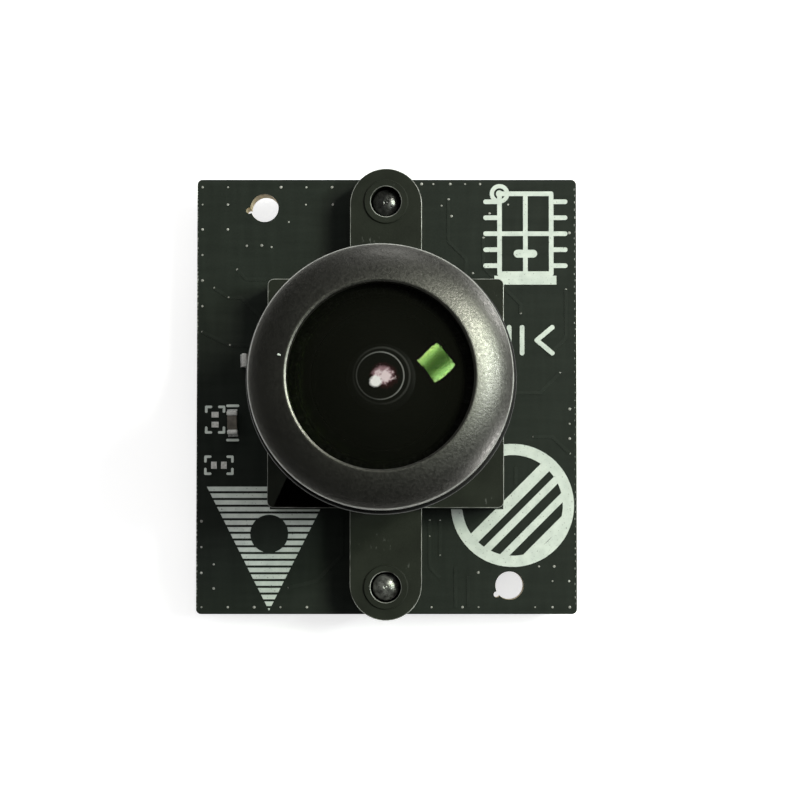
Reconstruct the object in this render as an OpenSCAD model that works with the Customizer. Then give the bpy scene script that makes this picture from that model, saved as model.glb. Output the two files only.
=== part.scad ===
// Board camera module: a small black circuit board with a screwed-on lens holder,
// an M12 wide-angle lens in its thread, and a flat-cable connector on the back.
// Millimetres. +Z is the way the lens looks. The part stands on its back, on the
// cable connector and the inductor, which are equally tall.

/* [Circuit board] */
// Width of the board, along X
board_w = 22.0; // [21:0.1:26]
// Length of the board, along Y
board_l = 25.2; // [24.6:0.1:30]
// Thickness of the board
board_t = 1.6; // [1:0.1:2.4]
// Corner radius of the board
board_corner_r = 0.3; // [0.1:0.05:1]
// Diameter of the two mounting holes
mount_hole_d = 1.62; // [1.2:0.02:2.2]
// Distance of a mounting hole from the board's centre, along X
mount_hole_x = 7.1; // [6:0.1:9]
// Distance of a mounting hole from the board's end edge
mount_hole_edge = 1.65; // [1.4:0.05:2.2]
// Diameter of the drill relief beside each mounting hole
relief_d = 0.35; // [0.2:0.05:0.6]

/* [Lens holder] */
// Width of the holder's base, along X
base_w = 13.4; // [13.2:0.1:15]
// Length of the holder's base, along Y
base_l = 13.0; // [13:0.1:15]
// Height of the holder's base
base_h = 3.0; // [2.8:0.1:4]
// Corner radius of the base
base_corner_r = 0.35; // [0.1:0.05:1]
// Distance of an ear hole from the board's end edge
ear_hole_edge = 1.6; // [1.5:0.05:2.4]
// Width of an ear
ear_w = 4.1; // [3.4:0.1:5]
// Thickness of an ear
ear_h = 2.3; // [1.8:0.1:3]
// Plastic beyond the centre of an ear hole
ear_end = 1.9; // [1.5:0.1:2.5]
// Diameter of the raised lip round an ear hole
ear_lip_d = 2.5; // [2.2:0.1:3]
// Height of the raised lip
ear_lip_h = 0.12; // [0.05:0.01:0.3]
// Outer diameter of the tower
tower_d = 12.96; // [12.7:0.02:13]
// Height of the whole holder above the board
holder_h = 11.5; // [9:0.1:14]
// Height of the cavity over the sensor
cavity_h = 2.2; // [1.9:0.1:2.4]
// Wall of the base round the cavity
base_wall = 1.4; // [1:0.1:1.6]
// Side of the filter's square seat
filter_seat_w = 8.4; // [8.2:0.1:9]
// Thickness of the shelf that carries the filter
shelf_t = 0.75; // [0.5:0.05:1]
// Diameter of the light opening in the shelf
shelf_hole_d = 7.4; // [6:0.1:7.8]
// Diameter of a locating peg
peg_d = 1.0; // [0.6:0.1:1.2]
// Length of a locating peg
peg_len = 1.2; // [0.6:0.1:1.5]
// Distance between the two pegs, along X
peg_spacing = 9.8; // [8:0.1:9.8]
// Distance of a peg's centre from the end of the base
peg_inset = 0.7; // [0.6:0.05:0.8]
// Clearance round a locating peg
peg_hole_gap = 0.05; // [0.02:0.01:0.08]
// Chamfer at the mouth of the holder's thread
mouth_chamfer = 0.25; // [0.1:0.05:0.3]

/* [Holder screws] */
// Thread diameter of a screw
screw_d = 1.7; // [1.4:0.05:1.9]
// Clearance round a screw in its ear
screw_gap = 0.02; // [0.01:0.01:0.08]
// Diameter of a screw's head
screw_head_d = 3.6; // [3:0.1:4]
// Height of a screw's head
screw_head_h = 1.4; // [1:0.1:1.7]
// How far a screw's point stays below the ear's top
screw_point_depth = 0.25; // [0.1:0.05:0.6]
// Length of a screw's point
screw_point_len = 1.0; // [0.6:0.1:1.5]
// Width of the cross recess
cross_w = 0.45; // [0.3:0.05:0.6]
// Span of the cross recess
cross_span = 1.9; // [1.2:0.1:2.4]
// Depth of the cross recess
cross_depth = 0.7; // [0.4:0.1:0.9]

/* [Lens barrel] */
// Nominal diameter of the lens thread
thread_d = 12.0; // [11.7:0.02:12]
// Pitch of the lens thread
thread_pitch = 0.5; // [0.35:0.05:0.6]
// Clearance between barrel and holder, on the radius
thread_gap = 0.04; // [0.02:0.01:0.08]
// Gap between the holder's top and the lens flange
focus_gap = 2.5; // [1:0.1:4]
// Diameter of the lens flange
flange_d = 14.0; // [13.8:0.1:15]
// Thickness of the lens flange
flange_h = 1.2; // [0.8:0.1:1.6]
// Height of the barrel behind the flange's front face
barrel_len = 10.6; // [10.5:0.1:11]
// Height of the collar inside the front ring
collar_h = 1.5; // [1.2:0.1:1.7]
// Gap between the collar and the front ring's roof
collar_gap = 0.25; // [0.1:0.05:0.3]
// Height of the thread's run-out groove
runout_h = 0.5; // [0.3:0.05:0.8]
// Depth of the thread's run-out groove
runout_depth = 0.25; // [0.15:0.05:0.4]
// Chamfer of the flange's edges
flange_chamfer = 0.18; // [0.1:0.02:0.3]
// Chamfer at the barrel's rear end
barrel_chamfer = 0.3; // [0.1:0.05:0.5]

/* [Front ring] */
// Outer diameter of the front ring
ring_d = 13.6; // [13.4:0.1:13.8]
// Diameter of the front opening
ring_opening_d = 9.52; // [8.6:0.02:10]
// Height of the front ring
ring_h = 2.8; // [2.5:0.1:3.2]
// Wall of the front ring round the collar
ring_wall = 0.6; // [0.4:0.05:0.7]
// Radius of the rounded crown
crown_r = 3.2; // [3:0.1:4.5]
// Slope of the crown at the opening, in degrees
crown_start = 6; // [2:1:12]

/* [Lens elements] */
// Diameter of the front element
front_glass_d = 10.5; // [10.4:0.1:10.8]
// Radius of the front element's dome
front_dome_r = 9.0; // [8:0.1:12]
// Radius of the front element's hollow
front_hollow_r = 4.4; // [4.2:0.1:4.8]
// Thickness of the front element at its middle
front_glass_t = 1.1; // [0.8:0.1:1.3]
// Gap between the dome and the edge of the front opening
dome_gap = 0.02; // [0.01:0.01:0.1]
// Depth of the front element's seat below the flange's front face
front_seat_depth = 0.1; // [0:0.05:0.3]
// Diameter of the second and third elements
upper_glass_d = 7.2; // [6.8:0.1:7.4]
// Drop of the second element's edge below the front element
second_drop = 0.22; // [0.1:0.02:0.5]
// Thickness of the second element at its edge
second_edge_t = 1.38; // [1.2:0.02:1.5]
// Radius of the second element's front face
second_front_r = 7.5; // [6:0.1:10]
// Radius of the second element's hollow
second_hollow_r = 2.4; // [2.3:0.05:3]
// Radius of the second element's hollow at its edge
second_hollow_edge = 2.2; // [1.8:0.05:2.25]
// Thickness of the front spacer
front_spacer_t = 0.8; // [0.5:0.1:1.2]
// Wall of the front spacer
front_spacer_wall = 1.3; // [0.9:0.05:1.4]
// Thickness of the third element at its edge
third_edge_t = 1.9; // [1.4:0.1:2]
// Radius of the third element's front face
third_front_r = 5.0; // [4.5:0.1:8]
// Radius of the third element's rear face
third_rear_r = 6.0; // [5.5:0.1:9]
// Thickness of the barrel's inner shoulder
shoulder_t = 0.6; // [0.5:0.05:0.8]
// Width of the barrel's inner shoulder
shoulder_w = 1.05; // [0.8:0.05:1.2]
// Diameter of the fourth and rear elements
lower_glass_d = 6.7; // [6.2:0.1:7]
// Thickness of the aperture stop
stop_t = 0.1; // [0.05:0.01:0.15]
// Diameter of the aperture
stop_hole_d = 2.0; // [1:0.1:2.6]
// Thickness of the fourth element at its edge
fourth_edge_t = 1.8; // [1.4:0.1:1.9]
// Radius of the fourth element's rear face
fourth_rear_r = 5.0; // [4.8:0.1:8]
// Thickness of the rear spacer
rear_spacer_t = 1.2; // [1.1:0.1:1.4]
// Wall of the rear spacer
rear_spacer_wall = 0.85; // [0.6:0.05:1]
// Thickness of the rear element at its edge
rear_edge_t = 1.4; // [1:0.1:1.5]
// Radius of the rear element's front face
rear_front_r = 6.0; // [5.5:0.1:9]
// Radius of the rear element's hollow
rear_hollow_r = 8.0; // [6:0.1:12]
// Height of the rear retaining ring
retainer_h = 0.8; // [0.5:0.1:0.9]
// Wall of the rear retaining ring
retainer_wall = 0.8; // [0.6:0.05:1]
// Gap between an element's curved face and the ring next to it
curve_gap = 0.1; // [0.05:0.01:0.2]
// Radial gap between an element and the barrel
glass_gap = 0.05; // [0.02:0.01:0.08]
// Thickness of the seal under the front element, squeezed
seal_t = 0.5; // [0.4:0.05:0.6]
// Offset of the seal towards the front element's rim
seal_out = 0.1; // [0:0.02:0.2]
// Gap beside the seal in its groove
seal_gap = 0.05; // [0.02:0.01:0.1]

/* [Image sensor] */
// Side of the sensor's package
package_w = 8.0; // [7.4:0.1:9]
// Height of the sensor's package
package_h = 0.9; // [0.7:0.05:1]
// Width of the sensor die
die_w = 5.2; // [4:0.1:5.6]
// Length of the sensor die
die_l = 4.4; // [3:0.1:5.4]
// Thickness of the sensor die
die_t = 0.3; // [0.2:0.05:0.4]
// Thickness of the sensor's cover glass
cover_t = 0.45; // [0.3:0.05:0.6]
// Thickness of the infrared filter
filter_t = 0.55; // [0.3:0.05:0.6]

/* [Front of the board] */
// Thickness of the printed marks
print_t = 0.03; // [0.02:0.01:0.06]
// Width of a printed line
print_line = 0.27; // [0.15:0.01:0.35]
// Width of the frame mark
frame_mark_w = 3.0; // [2:0.1:3.4]
// Length of the frame mark
frame_mark_l = 4.66; // [3:0.02:5]
// Distance of the frame mark's middle from the board's right edge
frame_mark_side = 2.95; // [2.8:0.05:3.6]
// Distance of the frame mark's middle from the board's upper edge
frame_mark_top = 3.15; // [3.1:0.05:4]
// Radius of the round mark
round_mark_r = 3.56; // [2:0.02:3.6]
// Line of the round mark
round_mark_line = 0.65; // [0.3:0.05:0.8]
// Distance of the round mark's middle from the board's right edge
round_mark_side = 3.72; // [3.65:0.01:4]
// Distance of the round mark's middle from the board's lower edge
round_mark_bottom = 6.28; // [5:0.02:7]
// Width of the triangle mark
triangle_w = 7.22; // [4:0.02:7.4]
// Length of the triangle mark
triangle_l = 7.16; // [4:0.02:7.4]
// Width of a stripe in the triangle mark
stripe_w = 0.26; // [0.15:0.01:0.3]
// Distance from one stripe to the next
stripe_pitch = 0.39; // [0.35:0.01:0.6]
// Radius of the clear patch in the triangle mark
triangle_clear_r = 1.1; // [0.5:0.05:1.3]
// Distance of the triangle mark from the board's left edge
triangle_side = 0.61; // [0.3:0.01:1]
// Distance of the triangle mark's tip from the board's lower edge
triangle_bottom = 0.2; // [0.1:0.05:0.5]
// Length of the arrow mark
arrow_mark_l = 2.5; // [1.5:0.1:2.7]
// Distance of the arrow mark from the board's right edge
arrow_mark_side = 3.9; // [3.6:0.1:3.9]
// Distance from the frame mark's middle down to the arrow mark
arrow_mark_drop = 6.95; // [5:0.05:8]
// Gap between a printed mark and the holder
print_gap = 0.05; // [0.02:0.01:0.2]
// Thickness of a bare pad
pad_t = 0.04; // [0.02:0.01:0.06]
// Width of a bare pad
pad_w = 0.41; // [0.3:0.01:0.5]
// Distance of the upper bare pads from the board's left edge
pad_pair_a_side = 1.07; // [0.9:0.01:1.2]
// Distance from the lower bare pads up to the upper ones
pad_pair_pitch = 2.64; // [2.2:0.02:3]
// Distance of the lower bare pads from the board's left edge
pad_pair_b_side = 1.3; // [1:0.01:1.6]
// Distance of the lower bare pads above the triangle mark
pad_pair_b_rise = 1.24; // [0.9:0.02:1.6]
// Distance of the small front chip from the board's left edge
front_chip_side = 2.09; // [2:0.01:2.4]
// Distance of the small front chip below the upper bare pads
front_chip_drop = 0.19; // [0:0.01:0.3]
// Length of the small front chip
front_chip_l = 1.34; // [1:0.02:1.6]
// Width of the small front chip
front_chip_w = 0.6; // [0.5:0.02:0.8]
// Height of the small front chip
front_chip_h = 0.55; // [0.4:0.05:0.8]
// Length of the chip beside the holder
side_chip_l = 1.5; // [1.2:0.1:1.6]
// Width of the chip beside the holder
side_chip_w = 0.78; // [0.6:0.02:0.9]
// Height of the chip beside the holder
side_chip_h = 0.7; // [0.5:0.05:0.9]
// Gap between that chip and the holder
side_chip_gap = 0.15; // [0.05:0.01:0.3]
// Distance from the small front chip up to that chip
side_chip_rise = 3.62; // [3:0.02:5]

/* [Cable connector] */
// Number of contacts
contact_count = 24; // [10:1:26]
// Distance between contacts
contact_pitch = 0.5; // [0.5:0.05:0.55]
// Width of a contact
contact_w = 0.2; // [0.12:0.02:0.26]
// Height of the connector
connector_h = 2.0; // [1.8:0.1:2.6]
// Depth of the connector's housing
housing_depth = 3.5; // [3:0.1:4]
// Housing beyond the last contact at each end
housing_end = 2.35; // [2:0.05:2.6]
// Distance of the closed latch from the board's edge
latch_edge_gap = 0.25; // [0.1:0.05:0.5]
// Thickness of the latch's bar
latch_bar_t = 1.1; // [0.8:0.1:1.4]
// How far the latch slides open
latch_travel = 1.1; // [0.6:0.1:1.2]
// Clearance round the latch
latch_gap = 0.06; // [0.04:0.01:0.1]
// Wall behind the cable slot
slot_wall = 0.7; // [0.6:0.05:1]
// Height of the cable slot's floor above the housing's lower face
slot_z = 0.42; // [0.35:0.01:0.5]
// Height of the cable slot
slot_h = 0.85; // [0.75:0.05:0.9]
// Height of the latch's tongue
tongue_h = 0.42; // [0.3:0.02:0.45]
// Length of a contact's soldered tail
tail_len = 0.6; // [0.4:0.05:0.8]
// Thickness of a contact's tail
tail_t = 0.16; // [0.1:0.02:0.2]
// Width of the latch's side arms
arm_w = 0.8; // [0.6:0.05:1]
// Length of the latch's side arms
arm_len = 2.0; // [1.5:0.1:2.2]
// Height of the latch's side arms
arm_h = 0.9; // [0.7:0.05:1]

/* [Rear chips] */
// Gap between neighbouring chips
chip_gap = 0.55; // [0.4:0.05:0.6]
// Gap between a chip and the board's edge
chip_edge = 1.0; // [0.6:0.05:1.1]
// Length of a rear capacitor
capacitor_l = 1.6; // [1.4:0.05:1.7]
// Width of a rear capacitor
capacitor_w = 0.8; // [0.6:0.05:0.85]
// Height of a rear capacitor
capacitor_h = 0.75; // [0.5:0.05:1]
// Length of a rear resistor
resistor_l = 1.0; // [0.8:0.05:1.2]
// Width of a rear resistor
resistor_w = 0.5; // [0.4:0.05:0.6]
// Height of a rear resistor
resistor_h = 0.35; // [0.25:0.05:0.5]
// Side of the image processor
processor_w = 6.0; // [5:0.1:7]
// Height of the image processor
processor_h = 0.85; // [0.6:0.05:1.2]
// Width of the flash memory's body
flash_w = 3.9; // [3.5:0.1:4.2]
// Length of the flash memory's body
flash_l = 4.9; // [4.6:0.1:5.2]
// Height of the flash memory
flash_h = 1.5; // [1.2:0.1:1.75]
// Length of the crystal's can
crystal_l = 3.2; // [2.5:0.1:3.6]
// Width of the crystal's can
crystal_w = 2.5; // [2:0.1:2.8]
// Height of the crystal's can
crystal_h = 0.75; // [0.6:0.05:1.2]
// Length of a voltage regulator's body
regulator_l = 2.9; // [2.7:0.1:3.1]
// Width of a voltage regulator's body
regulator_w = 1.6; // [1.4:0.1:1.8]
// Height of a voltage regulator
regulator_h = 1.1; // [0.9:0.05:1.4]
// Side of the power inductor
inductor_w = 4.0; // [3:0.1:4.4]

/* [Hidden] */
$fn = 96;
eps = 0.01;

// Places of the small parts on the front
triangle_top = -board_l / 2 + triangle_bottom + triangle_l;
pad_pair_b = [-board_w / 2 + pad_pair_b_side, triangle_top + pad_pair_b_rise];
pad_pair_a = [-board_w / 2 + pad_pair_a_side, pad_pair_b[1] + pad_pair_pitch];
front_chip_at = [-board_w / 2 + front_chip_side, pad_pair_a[1] - front_chip_drop];

// Heights that the pieces share
board_z = connector_h;
top_z = board_z + board_t;
mount_hole_y = board_l / 2 - mount_hole_edge;

// Lens holder
bore_d = thread_d - 0.65 * thread_pitch + 2 * thread_gap;
barrel_d = bore_d - 2 * thread_gap;
ear_y = board_l / 2 - ear_hole_edge;
ear_tip_y = ear_y + ear_end;
ear_arc_y = ear_tip_y - ear_w / 2;
ear_hole_d = screw_d + 2 * screw_gap;
peg_x = peg_spacing / 2;
peg_y = base_l / 2 - peg_inset;
filter_top = cavity_h + filter_t;
shelf_top = filter_top + shelf_t;

// Lens heights, all from the flange's front face
flange_z = top_z + holder_h + focus_gap;
face_z = flange_z + flange_h;
upper_bore_d = upper_glass_d + 2 * glass_gap;
lower_bore_d = lower_glass_d + 2 * glass_gap;
glass_bore_d = front_glass_d + 2 * glass_gap;
roof_z = collar_h + collar_gap;
dome_x = ring_opening_d / 2 - dome_gap;
front_vertex = roof_z + sag(front_dome_r, dome_x);
front_hollow_z = front_vertex - front_glass_t - front_hollow_r;
second_seat = -front_seat_depth - second_drop - second_edge_t;
third_top = second_seat - front_spacer_t;
third_seat = third_top - third_edge_t;
stop_top = third_seat - shoulder_t;
fourth_top = stop_top - stop_t;
fourth_seat = fourth_top - fourth_edge_t;
rear_top = fourth_seat - rear_spacer_t;
rear_seat = rear_top - rear_edge_t;
retainer_seat = rear_seat - retainer_h;
seal_w = seal_t * 1.2;
seal_r = (upper_bore_d / 2 + glass_bore_d / 2) / 2 + seal_out;

// Cable connector, along Y near the board's right edge
contact_span = (contact_count - 1) * contact_pitch;
housing_l = contact_span + 2 * housing_end;
latch_x = board_w / 2 - latch_edge_gap;
housing_front = latch_x - latch_bar_t - latch_gap;
housing_back = housing_front - housing_depth;
slot_l = contact_span + 2 * contact_pitch;
slot_depth = housing_depth - slot_wall;

// Places on the back: each chip stands off its neighbours by the chip gap.
// A third number is the chip's turn.
left_edge = -board_w / 2 + chip_edge;
tail_x = housing_back - tail_len;
signal_x = tail_x - chip_gap / 2 - resistor_w / 2;
processor_at = [signal_x - resistor_w / 2 - chip_gap - processor_w / 2, -chip_gap];
supply_x = processor_at[0] - processor_w / 2 - chip_gap - capacitor_w / 2;
supply_y = processor_at[1] - processor_w / 2 + capacitor_l / 2;
supply_pitch = (processor_w - capacitor_l) / 2;
row_y = processor_at[1] + processor_w / 2 + chip_gap + capacitor_w / 2;
row_pitch = capacitor_l + chip_gap;
crystal_at = [processor_at[0], row_y + capacitor_w / 2 + chip_gap + crystal_w / 2];
load_x = crystal_l / 2 + chip_gap + capacitor_w / 2;
flash_reach = flash_w * 0.27;
flash_at = [left_edge + flash_reach + flash_w / 2,
            processor_at[1] + processor_w / 2 + flash_l / 2];
regulator_reach = regulator_w * 0.38;
inductor_at = [left_edge + inductor_w / 2,
               flash_at[1] - flash_l / 2 - chip_gap - inductor_w / 2];
filter_y = inductor_at[1] - inductor_w / 2 - chip_gap - capacitor_w / 2;
regulator_places = [
    [left_edge + regulator_reach + regulator_w / 2,
     filter_y - capacitor_w / 2 - chip_gap - regulator_l / 2, 0],
    [processor_at[0] + processor_w / 4,
     processor_at[1] - processor_w / 2 - 2 * chip_gap - regulator_w, 90]];
pull_y = regulator_places[1][1];
capacitor_places = concat(
    [for (i = [0 : 2]) [supply_x, supply_y + i * supply_pitch, 90]],
    [for (i = [-1 : 1]) [processor_at[0] + i * row_pitch, row_y, 0]],
    [for (side = [-1, 1]) [crystal_at[0] + side * load_x, crystal_at[1], 90]],
    [[left_edge + capacitor_l / 2, filter_y, 0],
     [left_edge + capacitor_l / 2, flash_at[1] + flash_l / 2 + chip_gap + capacitor_w / 2, 0]]);
resistor_places = concat(
    [for (i = [0 : 3]) [supply_x + i * (resistor_w + chip_gap), pull_y, 90]],
    [for (i = [-1, 0, 2]) [signal_x, processor_at[1] + i * (resistor_l + chip_gap), 90]],
    [[left_edge + capacitor_l + chip_gap + resistor_w / 2, filter_y, 90]]);

// A flat rectangle with round corners, centred
module rounded_rect(w, l, r) {
    square([w - 2 * r, l], center = true);
    square([w, l - 2 * r], center = true);
    for (x = [-1, 1], y = [-1, 1])
        translate([x * (w / 2 - r), y * (l / 2 - r)]) circle(r = r, $fn = 32);
}

// A flat line with round ends
module stroke(from, to, width) {
    run = to - from;
    translate(from) circle(d = width, $fn = 24);
    translate(to) circle(d = width, $fn = 24);
    translate(from) rotate(atan2(run[1], run[0]))
        translate([0, -width / 2]) square([norm(run), width]);
}

// A flat closed line through the points
module outline(points, width) {
    for (i = [0 : len(points) - 1])
        stroke(points[i], points[(i + 1) % len(points)], width);
}

module flat_ring(outer_r, width) {
    difference() {
        circle(r = outer_r);
        circle(r = outer_r - width);
    }
}

// A turned tube from z0 up to z1
module tube(outer_d, inner_d, z0, z1) {
    translate([0, 0, z0]) difference() {
        cylinder(d = outer_d, h = z1 - z0);
        translate([0, 0, -eps]) cylinder(d = inner_d, h = z1 - z0 + 2 * eps);
    }
}

// ---- circuit board ----

relief_angles = [190, 215];

module mounting_hole(side) {
    translate([-side * mount_hole_x, side * mount_hole_y, -eps]) {
        cylinder(d = mount_hole_d, h = board_t + 2 * eps);
        rotate(side > 0 ? relief_angles[0] : relief_angles[1])
            translate([mount_hole_d / 2 + relief_d / 4, 0, 0])
                cylinder(d = relief_d, h = board_t + 2 * eps, $fn = 24);
    }
}

module circuit_board() {
    color([0.13, 0.15, 0.13]) translate([0, 0, board_z]) difference() {
        linear_extrude(board_t) rounded_rect(board_w, board_l, board_corner_r);
        for (side = [-1, 1]) {
            mounting_hole(side);
            translate([0, side * ear_y, -eps])
                cylinder(d = screw_d + 0.5, h = board_t + 2 * eps);
            translate([side * peg_x, side * peg_y, -eps])
                cylinder(d = peg_d + 2 * peg_hole_gap, h = board_t + 2 * eps, $fn = 32);
        }
    }
}

// ---- printed marks: plain outlines of no maker ----

// A footprint frame with a first-pin circle, a centre cross, pin ticks and two bars
module frame_mark() {
    half_w = frame_mark_w / 2;
    half_l = frame_mark_l / 2;
    tick = print_line * 2.3;
    outline([[-half_w, -half_l], [half_w, -half_l], [half_w, half_l], [-half_w, half_l]],
            print_line);
    stroke([-half_w, 0], [half_w, 0], print_line);
    stroke([0, -half_l], [0, half_l], print_line);
    for (side = [-1, 1], row = [-2 : 2])
        translate([side * half_w, row * frame_mark_l / 5])
            stroke([side * print_line * 0.7, 0], [side * (print_line * 0.7 + tick), 0], print_line);
    translate([-half_w, half_l]) {
        flat_ring(print_line * 2.1, print_line * 0.9);
        circle(r = print_line * 0.75, $fn = 32);
    }
    translate([0, -half_l - print_line * 1.4])
        square([frame_mark_w * 1.2, print_line * 1.9], center = true);
    stroke([-half_w * 0.3, -half_l / 2], [half_w * 0.3, -half_l / 2], print_line * 1.7);
}

// A capacitor's round outline, with the hatched half that shows its negative side
module round_mark() {
    bar = round_mark_line * 2 / 3;
    bar_pitch = round_mark_r * 0.27;
    flat_ring(round_mark_r, round_mark_line);
    intersection() {
        circle(r = round_mark_r - round_mark_line / 2);
        rotate(45) for (i = [0 : 3])
            translate([0, (round_mark_line - bar) - i * bar_pitch])
                square([2 * round_mark_r, i == 0 ? round_mark_line : bar], center = true);
    }
}

// A downward triangle filled with level stripes, clear round its middle
module triangle_mark() {
    half_w = triangle_w / 2;
    difference() {
        intersection() {
            polygon([[-half_w, 0], [half_w, 0], [0, -triangle_l]]);
            for (i = [0 : floor(triangle_l / stripe_pitch)])
                translate([-half_w, -stripe_w - i * stripe_pitch]) square([triangle_w, stripe_w]);
        }
        translate([0, -0.38 * triangle_l]) circle(r = triangle_clear_r);
    }
}

// Two bars and an arrow head
module arrow_mark() {
    mark_h = arrow_mark_l * 0.6;
    stroke([0, 0], [0, mark_h], print_line);
    stroke([arrow_mark_l * 0.3, 0], [arrow_mark_l * 0.3, mark_h], print_line);
    stroke([arrow_mark_l, mark_h], [arrow_mark_l * 0.64, mark_h / 2], print_line);
    stroke([arrow_mark_l * 0.64, mark_h / 2], [arrow_mark_l, 0], print_line);
}

// Corner brackets round an empty footprint with two pads
module bracket_mark(w, l) {
    line = print_line * 0.55;
    arm = print_line;
    for (x = [-1, 1], y = [-1, 1]) {
        corner = [x * w / 2, y * l / 2];
        stroke(corner, corner - [x * arm, 0], line);
        stroke(corner, corner - [0, y * arm], line);
    }
}

module printed_marks() {
    left = -board_w / 2;
    right = board_w / 2;
    bottom = -board_l / 2;
    color([0.88, 0.9, 0.87]) translate([0, 0, top_z]) linear_extrude(print_t) {
        translate([right - frame_mark_side, board_l / 2 - frame_mark_top]) frame_mark();
        translate([right - arrow_mark_side, board_l / 2 - frame_mark_top - arrow_mark_drop])
            arrow_mark();
        difference() {
            union() {
                translate([right - round_mark_side, bottom + round_mark_bottom]) round_mark();
                translate([left + triangle_side + triangle_w / 2, triangle_top]) triangle_mark();
            }
            square([base_w + 2 * print_gap, base_l + 2 * print_gap], center = true);
        }
        translate(pad_pair_a) bracket_mark(2.5 * pad_w, 3.6 * pad_w);
        translate(pad_pair_b) bracket_mark(3.8 * pad_w, 2.4 * pad_w);
        for (side = [-1, 1])
            translate(front_chip_at + [0, side * (front_chip_l / 2 + print_line * 1.2)])
                stroke([-front_chip_w / 2, 0], [front_chip_w / 2, 0], print_line * 0.55);
    }
}

// Two pads side by side, and two one above the other
module bare_pads() {
    pad_l = pad_w * 0.8;
    color([0.78, 0.76, 0.7]) translate([0, 0, top_z]) linear_extrude(pad_t)
        for (side = [-1, 1]) {
            translate(pad_pair_a + [0, side * pad_w * 0.7]) square([pad_w, pad_l], center = true);
            translate(pad_pair_b + [side * pad_w * 0.7, 0]) square([pad_l, pad_w], center = true);
        }
}

// ---- small chips ----

// A chip part: a body with a metal cap at each end, standing on z = 0
module chip(l, w, h) {
    cap = l * 0.19;
    translate([-l / 2 + cap, -w * 0.47, 0]) cube([l - 2 * cap, w * 0.94, h * 0.96]);
    for (side = [-1, 1])
        translate([side * (l - cap) / 2 - cap / 2, -w / 2, 0]) cube([cap, w, h]);
}

module front_capacitor() {
    color([0.45, 0.4, 0.35]) translate([front_chip_at[0], front_chip_at[1], top_z])
        rotate(90) chip(front_chip_l, front_chip_w, front_chip_h);
}

module side_component() {
    chip_x = -base_w / 2 - side_chip_gap - side_chip_l / 2;
    color([0.75, 0.68, 0.52]) translate([chip_x, front_chip_at[1] + side_chip_rise, top_z])
        chip(side_chip_l, side_chip_w, side_chip_h);
}

// ---- image sensor ----

package_wall = 0.9;
recess_depth = die_t + 0.2;

module sensor_package() {
    recess = package_w - 2 * package_wall;
    color([0.1, 0.1, 0.11]) translate([0, 0, top_z]) difference() {
        translate([0, 0, package_h / 2]) cube([package_w, package_w, package_h], center = true);
        translate([-recess / 2, -recess / 2, package_h - recess_depth])
            cube([recess, recess, recess_depth + eps]);
    }
}

module sensor_die() {
    color([0.35, 0.3, 0.45]) translate([0, 0, top_z + package_h - recess_depth])
        translate([-die_w / 2, -die_l / 2, 0]) cube([die_w, die_l, die_t]);
}

module sensor_cover_glass() {
    cover_w = package_w - package_wall;
    color([0.7, 0.8, 0.85, 0.5]) translate([-cover_w / 2, -cover_w / 2, top_z + package_h])
        cube([cover_w, cover_w, cover_t]);
}

module infrared_filter() {
    filter_w = filter_seat_w - 0.2;
    color([0.75, 0.55, 0.6, 0.6]) translate([-filter_w / 2, -filter_w / 2, top_z + cavity_h])
        cube([filter_w, filter_w, filter_t]);
}

// ---- lens holder ----

module ear_outline(side) {
    translate([0, side * ear_arc_y]) circle(d = ear_w);
    translate([-ear_w / 2, side > 0 ? 0 : -ear_arc_y]) square([ear_w, ear_arc_y]);
}

module lens_holder() {
    cavity_w = base_w - 2 * base_wall;
    cavity_l = base_l - 2 * base_wall;
    color([0.16, 0.165, 0.15]) translate([0, 0, top_z]) difference() {
        union() {
            linear_extrude(base_h) rounded_rect(base_w, base_l, base_corner_r);
            for (side = [-1, 1]) {
                linear_extrude(ear_h) ear_outline(side);
                translate([0, side * ear_y, 0]) cylinder(d = ear_lip_d, h = ear_h + ear_lip_h);
                translate([side * peg_x, side * peg_y, -peg_len])
                    cylinder(d = peg_d, h = peg_len + eps, $fn = 32);
            }
            cylinder(d = tower_d, h = holder_h);
        }
        for (side = [-1, 1])
            translate([0, side * ear_y, -eps]) cylinder(d = ear_hole_d, h = ear_h + 1);
        translate([-cavity_w / 2, -cavity_l / 2, -eps]) cube([cavity_w, cavity_l, cavity_h + eps]);
        translate([-filter_seat_w / 2, -filter_seat_w / 2, 0])
            cube([filter_seat_w, filter_seat_w, filter_top]);
        cylinder(d = shelf_hole_d, h = holder_h);
        translate([0, 0, shelf_top]) cylinder(d = bore_d, h = holder_h);
        translate([0, 0, holder_h - mouth_chamfer])
            cylinder(d1 = bore_d, d2 = bore_d + 2 * mouth_chamfer, h = mouth_chamfer);
    }
}

// ---- holder screws, driven from the back ----

module holder_screw(side) {
    head_bottom = board_z - screw_head_h;
    point_z = top_z + ear_h - screw_point_depth;
    point_d = 0.16;
    color([0.25, 0.25, 0.27]) translate([0, side * ear_y, 0]) difference() {
        union() {
            translate([0, 0, head_bottom + 0.35])
                cylinder(d = screw_head_d, h = screw_head_h - 0.35);
            translate([0, 0, head_bottom])
                cylinder(d1 = screw_head_d - 0.7, d2 = screw_head_d, h = 0.35);
            translate([0, 0, head_bottom + screw_head_h - eps])
                cylinder(d = screw_d, h = point_z - screw_point_len - board_z + eps);
            translate([0, 0, point_z - screw_point_len])
                cylinder(d1 = screw_d, d2 = point_d, h = screw_point_len);
        }
        for (turn = [0, 90])
            rotate(turn + 45) translate([-cross_span / 2, -cross_w / 2, head_bottom - eps])
                cube([cross_span, cross_w, cross_depth + eps]);
    }
}

module upper_screw() { holder_screw(1); }

module lower_screw() { holder_screw(-1); }

// ---- lens: every profile is turned about the Z axis ----

// The profile right of the axis, between two heights
module half(r, z0, z1) {
    translate([0, z0]) square([r, z1 - z0]);
}

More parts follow.
